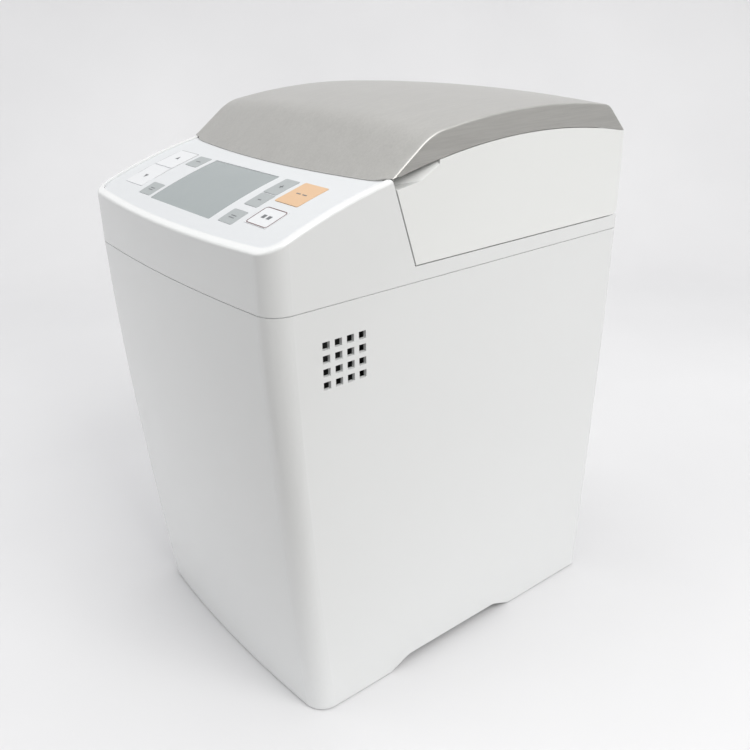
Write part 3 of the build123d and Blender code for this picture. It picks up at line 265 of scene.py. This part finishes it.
# finishes
mouldedLooks = {
    "bodyWhite": {"color": (0.775, 0.785, 0.785), "shade": (0.75, 0.76, 0.76), "gloss": 0.24, "smudge": 0.28,
                  "grain": 240.0, "relief": 0.0, "coat": 0.4},
    "lidWhite": {"color": (0.82, 0.83, 0.82), "shade": (0.80, 0.81, 0.80), "gloss": 0.27, "smudge": 0.32,
                 "grain": 240.0, "relief": 0.0, "coat": 0.25},
    "overlaySheet": {"color": (0.64, 0.655, 0.67), "shade": (0.62, 0.635, 0.65), "gloss": 0.34,
                     "smudge": 0.48, "grain": 1500.0, "relief": 0.03},
    "keyGrey": {"color": (0.37, 0.395, 0.40), "shade": (0.35, 0.375, 0.38), "gloss": 0.34, "smudge": 0.48,
                "grain": 1500.0, "relief": 0.03},
    "keyWhite": {"color": (0.69, 0.70, 0.715), "shade": (0.67, 0.68, 0.695), "gloss": 0.34, "smudge": 0.48,
                 "grain": 1500.0, "relief": 0.03},
    "keyOrange": {"color": (0.66, 0.44, 0.265), "shade": (0.64, 0.42, 0.25), "gloss": 0.34, "smudge": 0.48,
                  "grain": 1500.0, "relief": 0.03},
    "printGrey": {"color": (0.16, 0.17, 0.18), "shade": (0.12, 0.12, 0.13), "gloss": 0.4, "smudge": 0.5},
    "printMaroon": {"color": (0.13, 0.06, 0.06), "shade": (0.10, 0.05, 0.05), "gloss": 0.4, "smudge": 0.5},
    "printPale": {"color": (0.34, 0.34, 0.35), "shade": (0.3, 0.3, 0.31), "gloss": 0.4, "smudge": 0.5},
    "displayFace": {"color": (0.26, 0.29, 0.295), "shade": (0.245, 0.275, 0.28), "gloss": 0.3, "smudge": 0.4,
                    "grain": 2500.0, "relief": 0.02},
    "boardGreen": {"color": (0.03, 0.14, 0.07), "shade": (0.02, 0.1, 0.05), "gloss": 0.3, "smudge": 0.45},
    "componentBlack": {"color": (0.03, 0.03, 0.032), "shade": (0.05, 0.05, 0.05), "gloss": 0.4, "smudge": 0.55},
    "blackPlastic": {"color": (0.025, 0.025, 0.027), "shade": (0.045, 0.045, 0.045), "gloss": 0.35,
                     "smudge": 0.55, "grain": 1400.0, "relief": 0.12},
    "greyPlastic": {"color": (0.42, 0.43, 0.43), "shade": (0.38, 0.39, 0.39), "gloss": 0.4, "smudge": 0.55,
                    "grain": 1400.0, "relief": 0.1},
    "footRubber": {"color": (0.03, 0.03, 0.03), "shade": (0.06, 0.06, 0.058), "gloss": 0.75, "smudge": 0.9,
                   "grain": 1100.0, "relief": 0.3},
    "sealSilicone": {"color": (0.55, 0.55, 0.53), "shade": (0.49, 0.49, 0.47), "gloss": 0.45, "smudge": 0.6,
                     "grain": 1100.0, "relief": 0.1},
    "nonstickCoat": {"color": (0.035, 0.035, 0.038), "shade": (0.075, 0.075, 0.078), "gloss": 0.32,
                     "smudge": 0.5, "grain": 2200.0, "relief": 0.25},
    "castCore": {"color": (0.16, 0.16, 0.165), "shade": (0.11, 0.11, 0.112), "gloss": 0.5, "smudge": 0.7,
                 "grain": 900.0, "relief": 0.4, "metal": 0.7},
}
brushedLooks = {
    "coverMetal": {"color": (0.52, 0.515, 0.495), "shade": (0.45, 0.445, 0.428), "gloss": 0.36, "dull": 0.46,
                   "stretch": (16.0, 0.6, 16.0), "relief": 0.03, "metal": 0.6, "coat": 0.1},
    "sheetSteel": {"color": (0.62, 0.62, 0.61), "shade": (0.48, 0.48, 0.475), "gloss": 0.28, "dull": 0.42,
                   "stretch": (1.0, 1.0, 12.0)},
    "screwSteel": {"color": (0.68, 0.68, 0.69), "shade": (0.55, 0.55, 0.56), "gloss": 0.18, "dull": 0.3,
                   "stretch": (9.0, 9.0, 9.0), "relief": 0.05},
    "satinAluminium": {"color": (0.74, 0.74, 0.75), "shade": (0.63, 0.63, 0.64), "gloss": 0.3, "dull": 0.45,
                       "stretch": (12.0, 1.0, 1.0), "relief": 0.05},
    "panMetal": {"color": (0.16, 0.155, 0.15), "shade": (0.10, 0.098, 0.095), "gloss": 0.36, "dull": 0.55,
                 "stretch": (2.0, 2.0, 2.0), "relief": 0.2, "metal": 0.5},
    "copperWire": {"color": (0.62, 0.34, 0.18), "shade": (0.45, 0.22, 0.11), "gloss": 0.3, "dull": 0.45,
                   "stretch": (1.0, 1.0, 30.0)},
}
finishes = {name: mouldedMaterial(name, look) for name, look in mouldedLooks.items()}
finishes.update({name: brushedMaterial(name, look) for name, look in brushedLooks.items()})


def clearWindowMaterial():
    # a smoked lens: faintly see-through, with rubbed smears in its sheen
    material, tree, shader = newMaterial("clearWindow")
    coords = addNode(tree, "ShaderNodeTexCoord", (-700, 0)).outputs["Object"]
    smear = noiseNode(tree, coords, (-500, 0), 45.0, 4.0)
    tree.links.new(rangeNode(tree, smear.outputs["Fac"], (-250, 0), 0.04, 0.14), shader.inputs["Roughness"])
    tint = mixColor(tree, smear.outputs["Fac"], (0.33, 0.365, 0.37, 1), (0.355, 0.39, 0.395, 1), (-250, 250))
    tree.links.new(tint, shader.inputs["Base Color"])
    shader.inputs["Alpha"].default_value = 0.9
    shader.inputs["IOR"].default_value = 1.45
    return material


finishes["clearWindow"] = clearWindowMaterial()

nodeFinish = {
    "lower_housing": "bodyWhite", "rear_cover": "bodyWhite", "upper_frame": "bodyWhite",
    "lid_shell": "lidWhite", "lid_cover": "coverMetal", "control_overlay": "overlaySheet",
    "base_plate": "greyPlastic", "rubber_feet": "footRubber", "base_screws": "screwSteel",
    "rear_screws": "screwSteel", "cord_gland": "blackPlastic", "lcd_window": "clearWindow",
    "lcd_module": "displayFace", "control_board": "boardGreen", "key_switches": "componentBlack",
    "baking_chamber": "sheetSteel", "chamber_screws": "screwSteel", "heater": "sheetSteel",
    "heater_clips": "sheetSteel", "temperature_sensor": "screwSteel", "pan_mount": "satinAluminium",
    "bread_pan": "panMetal", "pan_handle": "screwSteel", "pan_shaft": "screwSteel",
    "pan_coupling": "satinAluminium", "pan_seal": "sealSilicone", "kneading_blade": "nonstickCoat",
    "chassis_posts": "sheetSteel", "drive_bracket": "sheetSteel", "shaft_bearings": "copperWire",
    "drive_shaft": "screwSteel", "drive_socket": "satinAluminium", "large_pulley": "blackPlastic",
    "motor_pulley": "satinAluminium", "drive_belt": "footRubber", "motor_body": "castCore",
    "motor_shaft": "screwSteel", "motor_fan": "blackPlastic", "motor_screws": "screwSteel",
    "power_board": "boardGreen", "board_standoffs": "satinAluminium", "transformer": "castCore",
    "power_parts": "componentBlack", "hinge_pins": "screwSteel", "steam_vent": "blackPlastic",
    "lid_inner_plate": "satinAluminium", "lid_seal": "sealSilicone", "lid_screws": "screwSteel",
    "dispenser_box": "greyPlastic", "dispenser_flap": "greyPlastic",
    "dispenser_solenoid": "componentBlack",
    "key_start": "keyOrange", "key_cancel": "keyWhite", "key_menu_up": "keyWhite",
    "key_menu_down": "keyWhite", "key_left_upper": "keyGrey", "key_left_lower": "keyGrey",
    "key_right_upper": "keyGrey", "key_right_middle": "keyGrey", "key_right_lower": "keyGrey",
}
for nodeName, finishName in nodeFinish.items():
    nodeMesh = nodes[nodeName].data
    nodeMesh.materials.clear()
    nodeMesh.materials.append(finishes[finishName])
print("finishes made:", len(finishes))


# small modelling helpers
def startEdit(piece):
    bpy.ops.object.select_all(action="DESELECT")
    piece.select_set(True)
    bpy.context.view_layer.objects.active = piece
    bpy.ops.object.mode_set(mode="EDIT")
    bpy.ops.mesh.select_all(action="SELECT")


def endEdit():
    bpy.ops.object.mode_set(mode="OBJECT")


def applyModifier(piece, kind, name, **settings):
    modifier = piece.modifiers.new(name, kind)
    for key, value in settings.items():
        setattr(modifier, key, value)
    bpy.ops.object.select_all(action="DESELECT")
    piece.select_set(True)
    bpy.context.view_layer.objects.active = piece
    bpy.ops.object.modifier_apply(modifier=modifier.name)


def finishPiece(piece, name, body, finish, place=None):
    if place is not None:
        piece.data.transform(place)
    piece.name = name
    piece.data.name = name
    piece.data.materials.clear()
    piece.data.materials.append(finishes[finish])
    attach(piece, body)
    bpy.ops.object.select_all(action="DESELECT")
    return piece


# the brushed cover
coverShape = {
    "crown": 0.004,
    "peakY": 0.0552,
    "peakZ": 0.394,
    "topRadius": 0.5,
    "browY": -0.0312,
    "browBlend": 0.0075,
    "browSlope": 0.735,
    "rearY": 0.1296,
    "rearBlend": 0.003,
    "tailY": 0.1475,
    "tailZ": 0.371,
    "edgePeakY": 0.056,
    "edgePeakZ": 0.375,
    "edgeRadius": 0.46,
    "lipGap": 0.0006,
    "edgeRound": 0.0011,
    "sheet": 0.0018,
    "acrossSteps": 44,
    "roundSteps": 4,
    "bandSteps": 3,
    "slopeSteps": 16,
    "topSteps": 46,
    "rearSteps": 10,
    "rearOverlap": 0.0002,
    "lipSearch": (-0.09, -0.05),
    "lipTries": 40,
    "softSteps": 4,
    "sideFront": -0.055,
}


def coverTop(y):
    # height of the cover's middle line
    c = coverShape
    top = c["peakZ"] - (min(max(y, c["browY"]), c["rearY"]) - c["peakY"]) ** 2 / (2 * c["topRadius"])
    if y < c["browY"]:
        return top + (y - c["browY"]) * c["browSlope"]
    if y > c["rearY"]:
        fall = (top - c["tailZ"]) / (c["tailY"] - c["rearY"])
        return top - (y - c["rearY"]) * fall
    return top


def softTop(y):
    # the same line with the brow and the rear break rounded off
    c = coverShape
    reach = c["browBlend"] if y < 0 else c["rearBlend"]
    total = 0.0
    half = c["softSteps"]
    for step in range(-half, half + 1):
        total += coverTop(y + reach * step / half)
    return total / (2 * half + 1)


def lidEdge(y):
    return coverShape["edgePeakZ"] - (y - coverShape["edgePeakY"]) ** 2 / (2 * coverShape["edgeRadius"])


def bedDrop(x):
    # the panel lies lower than its rim, with a soft step at the rim's inner side
    inner = bodyShape["halfWidth"] - bodyShape["rimWide"]
    share = min(max((inner + bodyShape["bedReach"] - abs(x)) / bodyShape["bedBlend"], 0), 1)
    return bodyShape["panelDrop"] * share * share * (3 - 2 * share)


def lipLine(x):
    # where the sloping brow comes down to the panel
    c = coverShape
    sag = c["crown"] * (x / bodyShape["halfWidth"]) ** 2
    low, high = c["lipSearch"]
    for _ in range(c["lipTries"]):
        middle = (low + high) / 2
        gap = softTop(middle) - sag - (rimHeight(middle) - bedDrop(x) + c["lipGap"])
        low, high = (middle, high) if gap < 0 else (low, middle)
    return high


def makeCover():
    c = coverShape
    across = c["acrossSteps"]
    side = c["roundSteps"] + c["bandSteps"]
    along = c["slopeSteps"] + c["topSteps"] + c["rearSteps"]
    bpy.ops.mesh.primitive_grid_add(x_subdivisions=across + 2 * side, y_subdivisions=along, size=2)
    piece = bpy.context.active_object
    columns = across + 2 * side
    half = bodyShape["halfWidth"]
    flat = half - c["edgeRound"]
    for index, vertex in enumerate(piece.data.vertices):
        column = index % (columns + 1)
        row = index // (columns + 1)
        inward = min(max(column - side, 0), across)
        x = -flat + 2 * flat * inward / across
        tip = lipLine(x)
        if row <= c["slopeSteps"]:
            y = tip + (c["browY"] - tip) * row / c["slopeSteps"]
        elif row <= c["slopeSteps"] + c["topSteps"]:
            y = c["browY"] + (c["rearY"] - c["browY"]) * (row - c["slopeSteps"]) / c["topSteps"]
        else:
            y = c["rearY"] + (c["tailY"] - c["rearY"]) * (row - along + c["rearSteps"]) / c["rearSteps"]
        z = softTop(y) - c["crown"] * (x / half) ** 2
        over = side - column if column < side else column - side - across
        if over > 0:
            sign = -1 if column < side else 1
            turn = min(over, c["roundSteps"]) / c["roundSteps"] * math.pi / 2
            x = sign * (flat + c["edgeRound"] * math.sin(turn))
            z -= c["edgeRound"] * (1 - math.cos(turn))
            foot = lidEdge(y)
            if y < c["sideFront"]:
                foot = max(foot, rimHeight(y) + c["lipGap"])
            z = max(z, foot)
            if over > c["roundSteps"]:
                z += (foot - z) * (over - c["roundSteps"]) / c["bandSteps"]
        vertex.co = (x, y, z)
    # the rear face drops straight down from the tail
    startEdit(piece)
    bpy.ops.mesh.select_all(action="DESELECT")
    endEdit()
    rearRow = along * (columns + 1)
    first = rearRow + side - c["bandSteps"]
    last = rearRow + columns - side + c["bandSteps"]
    for vertex in piece.data.vertices:
        vertex.select = first <= vertex.index <= last
    bpy.context.tool_settings.mesh_select_mode = (True, False, False)
    bpy.ops.object.mode_set(mode="EDIT")
    bpy.ops.mesh.extrude_region_move(TRANSFORM_OT_translate={"value": (0, 0, -0.001)})
    endEdit()
    for vertex in piece.data.vertices:
        if vertex.select:
            vertex.co.z = lidEdge(c["tailY"]) + c["rearOverlap"]
    startEdit(piece)
    bpy.ops.mesh.remove_doubles(threshold=0.00001)
    bpy.ops.mesh.normals_make_consistent(inside=False)
    endEdit()
    applyModifier(piece, "SOLIDIFY", "sheet", thickness=c["sheet"], offset=-1.0, use_even_offset=True)
    bpy.ops.object.shade_smooth_by_angle(angle=math.radians(38))
    return piece


cover = makeCover()
finishPiece(cover, "brushedCover", "lid", "coverMetal")
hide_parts("lid_cover")
print("cover made:", len(cover.data.polygons), "faces")


# prints on the panel
printShape = {"thick": 0.00006, "lift": 0.00003, "corner": 0.0016, "segments": 5}


def flatPrint(name, body, finish, place, wide, deep, rim=0.0, corner=None):
    corner = printShape["corner"] if corner is None else corner
    bpy.ops.mesh.primitive_plane_add(size=1)
    piece = bpy.context.active_object
    startEdit(piece)
    bpy.ops.transform.resize(value=(wide, deep, 1))
    if corner > 0:
        bpy.ops.mesh.bevel(offset=corner, segments=printShape["segments"], affect="VERTICES")
    if rim > 0:
        bpy.ops.mesh.select_all(action="SELECT")
        bpy.ops.mesh.inset(thickness=rim, depth=0)
        bpy.ops.mesh.delete(type="FACE")
    endEdit()
    applyModifier(piece, "SOLIDIFY", "ink", thickness=printShape["thick"], offset=1.0)
    return finishPiece(piece, name, body, finish, place)


def bendToPanel(piece, x, y, lift):
    # lays a flat piece on the curved panel, its own z standing off the surface
    for vertex in piece.data.vertices:
        u, v, w = vertex.co
        run = v * math.cos(panelLean(y))
        vertex.co = panelPlace(x + u, y + run, lift + w) @ Vector((0, 0, 0))


keyPlaces = {
    "key_start": (0.0734, -0.0945, 0.0234, 0.0226), "key_cancel": (0.0752, -0.12, 0.0226, 0.0166),
    "key_menu_up": (-0.083, -0.0942, 0.025, 0.0214), "key_menu_down": (-0.083, -0.1172, 0.025, 0.0224),
    "key_left_upper": (-0.0572, -0.0906, 0.0158, 0.013),
    "key_left_lower": (-0.0558, -0.1275, 0.0158, 0.0122),
    "key_right_upper": (0.0496, -0.0926, 0.0144, 0.0174),
    "key_right_middle": (0.0502, -0.1088, 0.0144, 0.0134),
    "key_right_lower": (0.0498, -0.1272, 0.0154, 0.0122),
}
keyProud = 0.0002


def onKey(name, dx=0.0, dy=0.0):
    # a place on a key's face, moved across and along it
    x, y, wide, deep = keyPlaces[name]
    lift = keyProud + printShape["lift"]
    return panelPlace(x, y, lift) @ Matrix.Translation((dx, dy, 0))


def keySize(name):
    x, y, wide, deep = keyPlaces[name]
    return wide, deep / math.cos(panelLean(y))


cancelWide, cancelDeep = keySize("key_cancel")
flatPrint("cancelOutline", "key_cancel", "printMaroon", onKey("key_cancel"), cancelWide - 0.0008,
          cancelDeep - 0.0008, rim=0.0006, corner=0.0022)
markLooks = {
    "key_start": [(-0.0030, 0, 0.0042, 0.0009), (0.0030, 0, 0.0042, 0.0009)],
    "key_cancel": [(-0.0026, 0, 0.0032, 0.0032), (0.0026, 0, 0.0032, 0.0032)],
    "key_left_upper": [(0, 0, 0.0056, 0.0007)],
    "key_left_lower": [(0, 0.0008, 0.0056, 0.0007), (0, -0.0012, 0.0056, 0.0007)],
    "key_right_upper": [(0, 0, 0.0034, 0.0008), (0, 0, 0.0008, 0.0034)],
    "key_right_middle": [(0, 0, 0.0034, 0.0008)],
    "key_right_lower": [(0, 0.0008, 0.0056, 0.0007), (0, -0.0012, 0.0056, 0.0007)],
}
markCorner = 0.0002
for keyName, marks in markLooks.items():
    for index, (dx, dy, wide, deep) in enumerate(marks):
        place = onKey(keyName, dx, dy)
        flatPrint(f"{keyName}Mark{index}", keyName, "printGrey", place, wide, deep, corner=markCorner)
arrowShape = {"radius": 0.0024, "shift": 0.0012}


def arrowPrint(keyName, turn):
    bpy.ops.mesh.primitive_cylinder_add(vertices=3, radius=arrowShape["radius"], depth=printShape["thick"])
    piece = bpy.context.active_object
    shift = arrowShape["shift"] * math.cos(turn)
    lift = Matrix.Translation((0, 0, printShape["thick"] / 2))
    place = onKey(keyName, 0, shift) @ lift @ Matrix.Rotation(turn, 4, "Z")
    return finishPiece(piece, f"{keyName}Arrow", keyName, "printGrey", place)


arrowPrint("key_menu_up", 0)
arrowPrint("key_menu_down", math.pi)
menuFrame = {"x": -0.083, "y": -0.1058, "wide": 0.0267, "deep": 0.0491, "line": 0.0005,
             "corner": 0.002, "cornerSteps": 4, "cuts": 12}


def makeMenuFrame():
    # a fine outline printed round the two menu keys
    bpy.ops.mesh.primitive_grid_add(x_subdivisions=1, y_subdivisions=1, size=1)
    piece = bpy.context.active_object
    startEdit(piece)
    bpy.ops.transform.resize(value=(menuFrame["wide"], menuFrame["deep"], 1))
    bpy.ops.mesh.bevel(offset=menuFrame["corner"], segments=menuFrame["cornerSteps"], affect="VERTICES")
    bpy.ops.mesh.select_all(action="SELECT")
    bpy.ops.mesh.inset(thickness=menuFrame["line"], depth=0)
    bpy.ops.mesh.delete(type="FACE")
    bpy.ops.mesh.select_all(action="SELECT")
    bpy.ops.mesh.subdivide(number_cuts=menuFrame["cuts"])
    endEdit()
    applyModifier(piece, "SOLIDIFY", "ink", thickness=printShape["thick"], offset=1.0)
    bendToPanel(piece, menuFrame["x"], menuFrame["y"], printShape["lift"])
    return finishPiece(piece, "menuFrame", "housing", "printPale")


makeMenuFrame()
print("prints made")


# the tongue behind the seam
tongue = {"skin": 0.0009, "low": -0.002, "tall": 0.005, "thick": 0.001, "cornerSteps": 10, "bowSteps": 16}


def outlinePoints(skin):
    # the body's plan outline, from the left rear round the bowed front to the right rear
    half = bodyShape["halfWidth"] - skin
    front = -bodyShape["halfDepth"] + skin
    bow = bodyShape["frontBow"]
    corner = bodyShape["frontCorner"] - skin
    bowRadius = (half ** 2 + bow ** 2) / (2 * bow)
    lean = math.asin((half - corner) / (bowRadius - corner))
    middle = Vector((0, front + bowRadius))
    centre = middle + (bowRadius - corner) * Vector((math.sin(lean), -math.cos(lean)))
    points = []
    for step in range(tongue["bowSteps"] + 1):
        angle = -lean + 2 * lean * step / tongue["bowSteps"]
        points.append(middle + bowRadius * Vector((math.sin(angle), -math.cos(angle))))
    for step in range(1, tongue["cornerSteps"] + 1):
        angle = lean + (math.pi / 2 - lean) * step / tongue["cornerSteps"]
        points.append(centre + corner * Vector((math.sin(angle), -math.cos(angle))))
    points.append(Vector((half, bodyShape["halfDepth"] - skin)))
    left = [Vector((-point.x, point.y)) for point in reversed(points[tongue["bowSteps"] + 1:])]
    return left + points


def makeTongue():
    points = outlinePoints(tongue["skin"])
    bpy.ops.mesh.primitive_circle_add(vertices=len(points), radius=0.1)
    piece = bpy.context.active_object
    for vertex, point in zip(piece.data.vertices, points):
        vertex.co = (point.x, point.y, bodyShape["seam"] + tongue["low"])
    startEdit(piece)
    bpy.ops.mesh.extrude_region_move(TRANSFORM_OT_translate={"value": (0, 0, tongue["tall"])})
    bpy.ops.mesh.select_all(action="SELECT")
    bpy.ops.mesh.normals_make_consistent(inside=False)
    endEdit()
    applyModifier(piece, "SOLIDIFY", "wall", thickness=tongue["thick"], offset=-1.0)
    return finishPiece(piece, "seamTongue", "housing", "bodyWhite")


makeTongue()
print("tongue made")


# painted shade: a black box behind the vents, standing in for the shade inside the housing seen through the
# slots
ventShadeBox = {"x": 0.1053, "y": -0.0974, "z": 0.2617, "thick": 0.012, "wide": 0.038, "tall": 0.037,
           "edge": 0.001, "push": 0.011}


def makeVentBox(side):
    bpy.ops.mesh.primitive_cube_add(size=1)
    piece = bpy.context.active_object
    startEdit(piece)
    bpy.ops.transform.resize(value=(ventShadeBox["thick"], ventShadeBox["wide"], ventShadeBox["tall"]))
    bpy.context.tool_settings.mesh_select_mode = (False, False, True)
    endEdit()
    for face in piece.data.polygons:
        face.select = face.normal.x * side > 0.5
    bpy.ops.object.mode_set(mode="EDIT")
    bpy.ops.mesh.inset(thickness=ventShadeBox["edge"], depth=0)
    bpy.ops.transform.translate(value=(-side * ventShadeBox["push"], 0, 0))
    endEdit()
    place = Matrix.Translation((side * ventShadeBox["x"], ventShadeBox["y"], ventShadeBox["z"]))
    name = "ventShadeBoxRight" if side > 0 else "ventShadeBoxLeft"
    return finishPiece(piece, name, "housing", "blackPlastic", place)


for side in (1, -1):
    makeVentBox(side)
print("vent boxes made")


# stage, light and camera
# nearShade and the near colour paint a shadow along the cloth's near side
sweepShape = {"turn": 0.9063, "near": 3.0, "flat": 0.75, "bend": 0.6, "tall": 2.4, "half": 4.0,
              "bendSteps": 18, "nearShade": (-0.36, -0.25), "lowTone": (0.66, 0.66, 0.67, 1),
              "highTone": (0.76, 0.76, 0.77, 1), "nearShadowColor": (0.2, 0.19, 0.18, 1)}


def stageMaterial():
    # pale cloth with soft clouds and a painted shadow darkening its near side, in front of the camera's view
    material, tree, shader = newMaterial("paleCloth")
    coords = addNode(tree, "ShaderNodeTexCoord", (-900, 0)).outputs["Object"]
    cloud = noiseNode(tree, coords, (-700, 0), 2.2, 3.0)
    weave = noiseNode(tree, coords, (-700, -300), 700.0, 2.0)
    fold = noiseNode(tree, coords, (-700, -550), 3.0, 1.0)
    split = addNode(tree, "ShaderNodeSeparateXYZ", (-700, 250))
    tree.links.new(coords, split.inputs["Vector"])
    tone = mixColor(tree, cloud.outputs["Fac"], sweepShape["lowTone"], sweepShape["highTone"], (-450, 0))
    # painted shadow: toward the near side the cloth darkens to a grey-brown, a shadow painted on the floor that
    # the glossy front corner reflects
    low, high = sweepShape["nearShade"]
    away = rangeNode(tree, split.outputs["Y"], (-450, 250), 0.0, 1.0, low, high)
    shaded = mixColor(tree, away, sweepShape["nearShadowColor"], tone, (-200, 100))
    tree.links.new(shaded, shader.inputs["Base Color"])
    height = mathNode(tree, "ADD", mathNode(tree, "MULTIPLY", weave.outputs["Fac"], 0.02, (-450, -300)),
                      mathNode(tree, "MULTIPLY", fold.outputs["Fac"], 6.0, (-450, -550)), (-200, -400))
    tree.links.new(bumpNode(tree, height, (0, -300), 0.35, 0.004), shader.inputs["Normal"])
    shader.inputs["Roughness"].default_value = 0.9
    shader.inputs["Specular IOR Level"].default_value = 0.1
    return material


def makeSweep():
    # a cloth that runs back under the object and bends up into a backdrop
    c = sweepShape
    rows = c["bendSteps"] + 2
    bpy.ops.mesh.primitive_grid_add(x_subdivisions=2, y_subdivisions=rows, size=2)
    piece = bpy.context.active_object
    for vertex in piece.data.vertices:
        side, row = divmod(vertex.index, 3)[::-1]
        x = (side - 1) * c["half"]
        angle = math.pi / 2 * min(max((row - 1) / c["bendSteps"], 0), 1)
        y = c["flat"] + c["bend"] * math.sin(angle)
        z = c["bend"] * (1 - math.cos(angle))
        if row == 0:
            y = -c["near"]
        if row == rows:
            z = c["tall"]
        vertex.co = (x, y, z)
    bpy.ops.object.shade_smooth()
    piece.rotation_euler = (0, 0, c["turn"])
    piece.name = "stageCloth"
    piece.data.materials.append(stageMaterial())


makeSweep()

lightLooks = {
    "keyRight": {"place": (1.7, 0.1, 1.8), "aim": (0.05, 0.0, 0.2), "size": 1.3, "power": 30,
                 "color": (1.0, 0.99, 0.97)},
    "fillLeft": {"place": (-1.2, -1.6, 1.5), "aim": (0.0, -0.05, 0.25), "size": 1.6, "power": 10,
                 "color": (1.0, 1.0, 1.0)},
    "topSoft": {"place": (0.1, 0.1, 2.3), "aim": (0.0, 0.15, 0.3), "size": 1.8, "power": 18,
                "color": (1.0, 1.0, 1.0)},
}
for lightName, look in lightLooks.items():
    lamp = bpy.data.lights.new(lightName, "AREA")
    lamp.shape = "SQUARE"
    lamp.size = look["size"]
    lamp.energy = look["power"]
    lamp.color = look["color"]
    holder = bpy.data.objects.new(lightName, lamp)
    bpy.context.scene.collection.objects.link(holder)
    holder.location = look["place"]
    back = Vector(look["place"]) - Vector(look["aim"])
    holder.rotation_euler = back.to_track_quat("Z", "Y").to_euler()

worldStrength = 0.55
world = bpy.data.worlds.new("studio")
world.use_nodes = True
world.node_tree.nodes["Background"].inputs["Color"].default_value = (1.0, 1.0, 1.0, 1)
world.node_tree.nodes["Background"].inputs["Strength"].default_value = worldStrength
bpy.context.scene.world = world
bpy.context.scene.view_settings.view_transform = "Standard"

cameraLook = {
    "place": (0.48316, -0.36803, 0.45738),
    "forward": (-0.71779, 0.56223, -0.4107),
    "right": (0.62279, 0.78218, -0.0177),
    "lens": 41.09,
    "shiftX": 0.0072,
    "shiftY": 0.0009,
    "sensor": 36.0,
    "near": 0.01,
}


def makeCamera():
    lens = bpy.data.cameras.new("viewCamera")
    lens.lens = cameraLook["lens"]
    lens.sensor_width = cameraLook["sensor"]
    lens.shift_x = cameraLook["shiftX"]
    lens.shift_y = cameraLook["shiftY"]
    lens.clip_start = cameraLook["near"]
    holder = bpy.data.objects.new("viewCamera", lens)
    bpy.context.scene.collection.objects.link(holder)
    back = -Vector(cameraLook["forward"]).normalized()
    right = Vector(cameraLook["right"]).normalized()
    up = back.cross(right).normalized()
    turn = Matrix((right, up, back)).transposed().to_4x4()
    holder.matrix_world = Matrix.Translation(cameraLook["place"]) @ turn
    bpy.context.scene.camera = holder


makeCamera()
print("stage set")
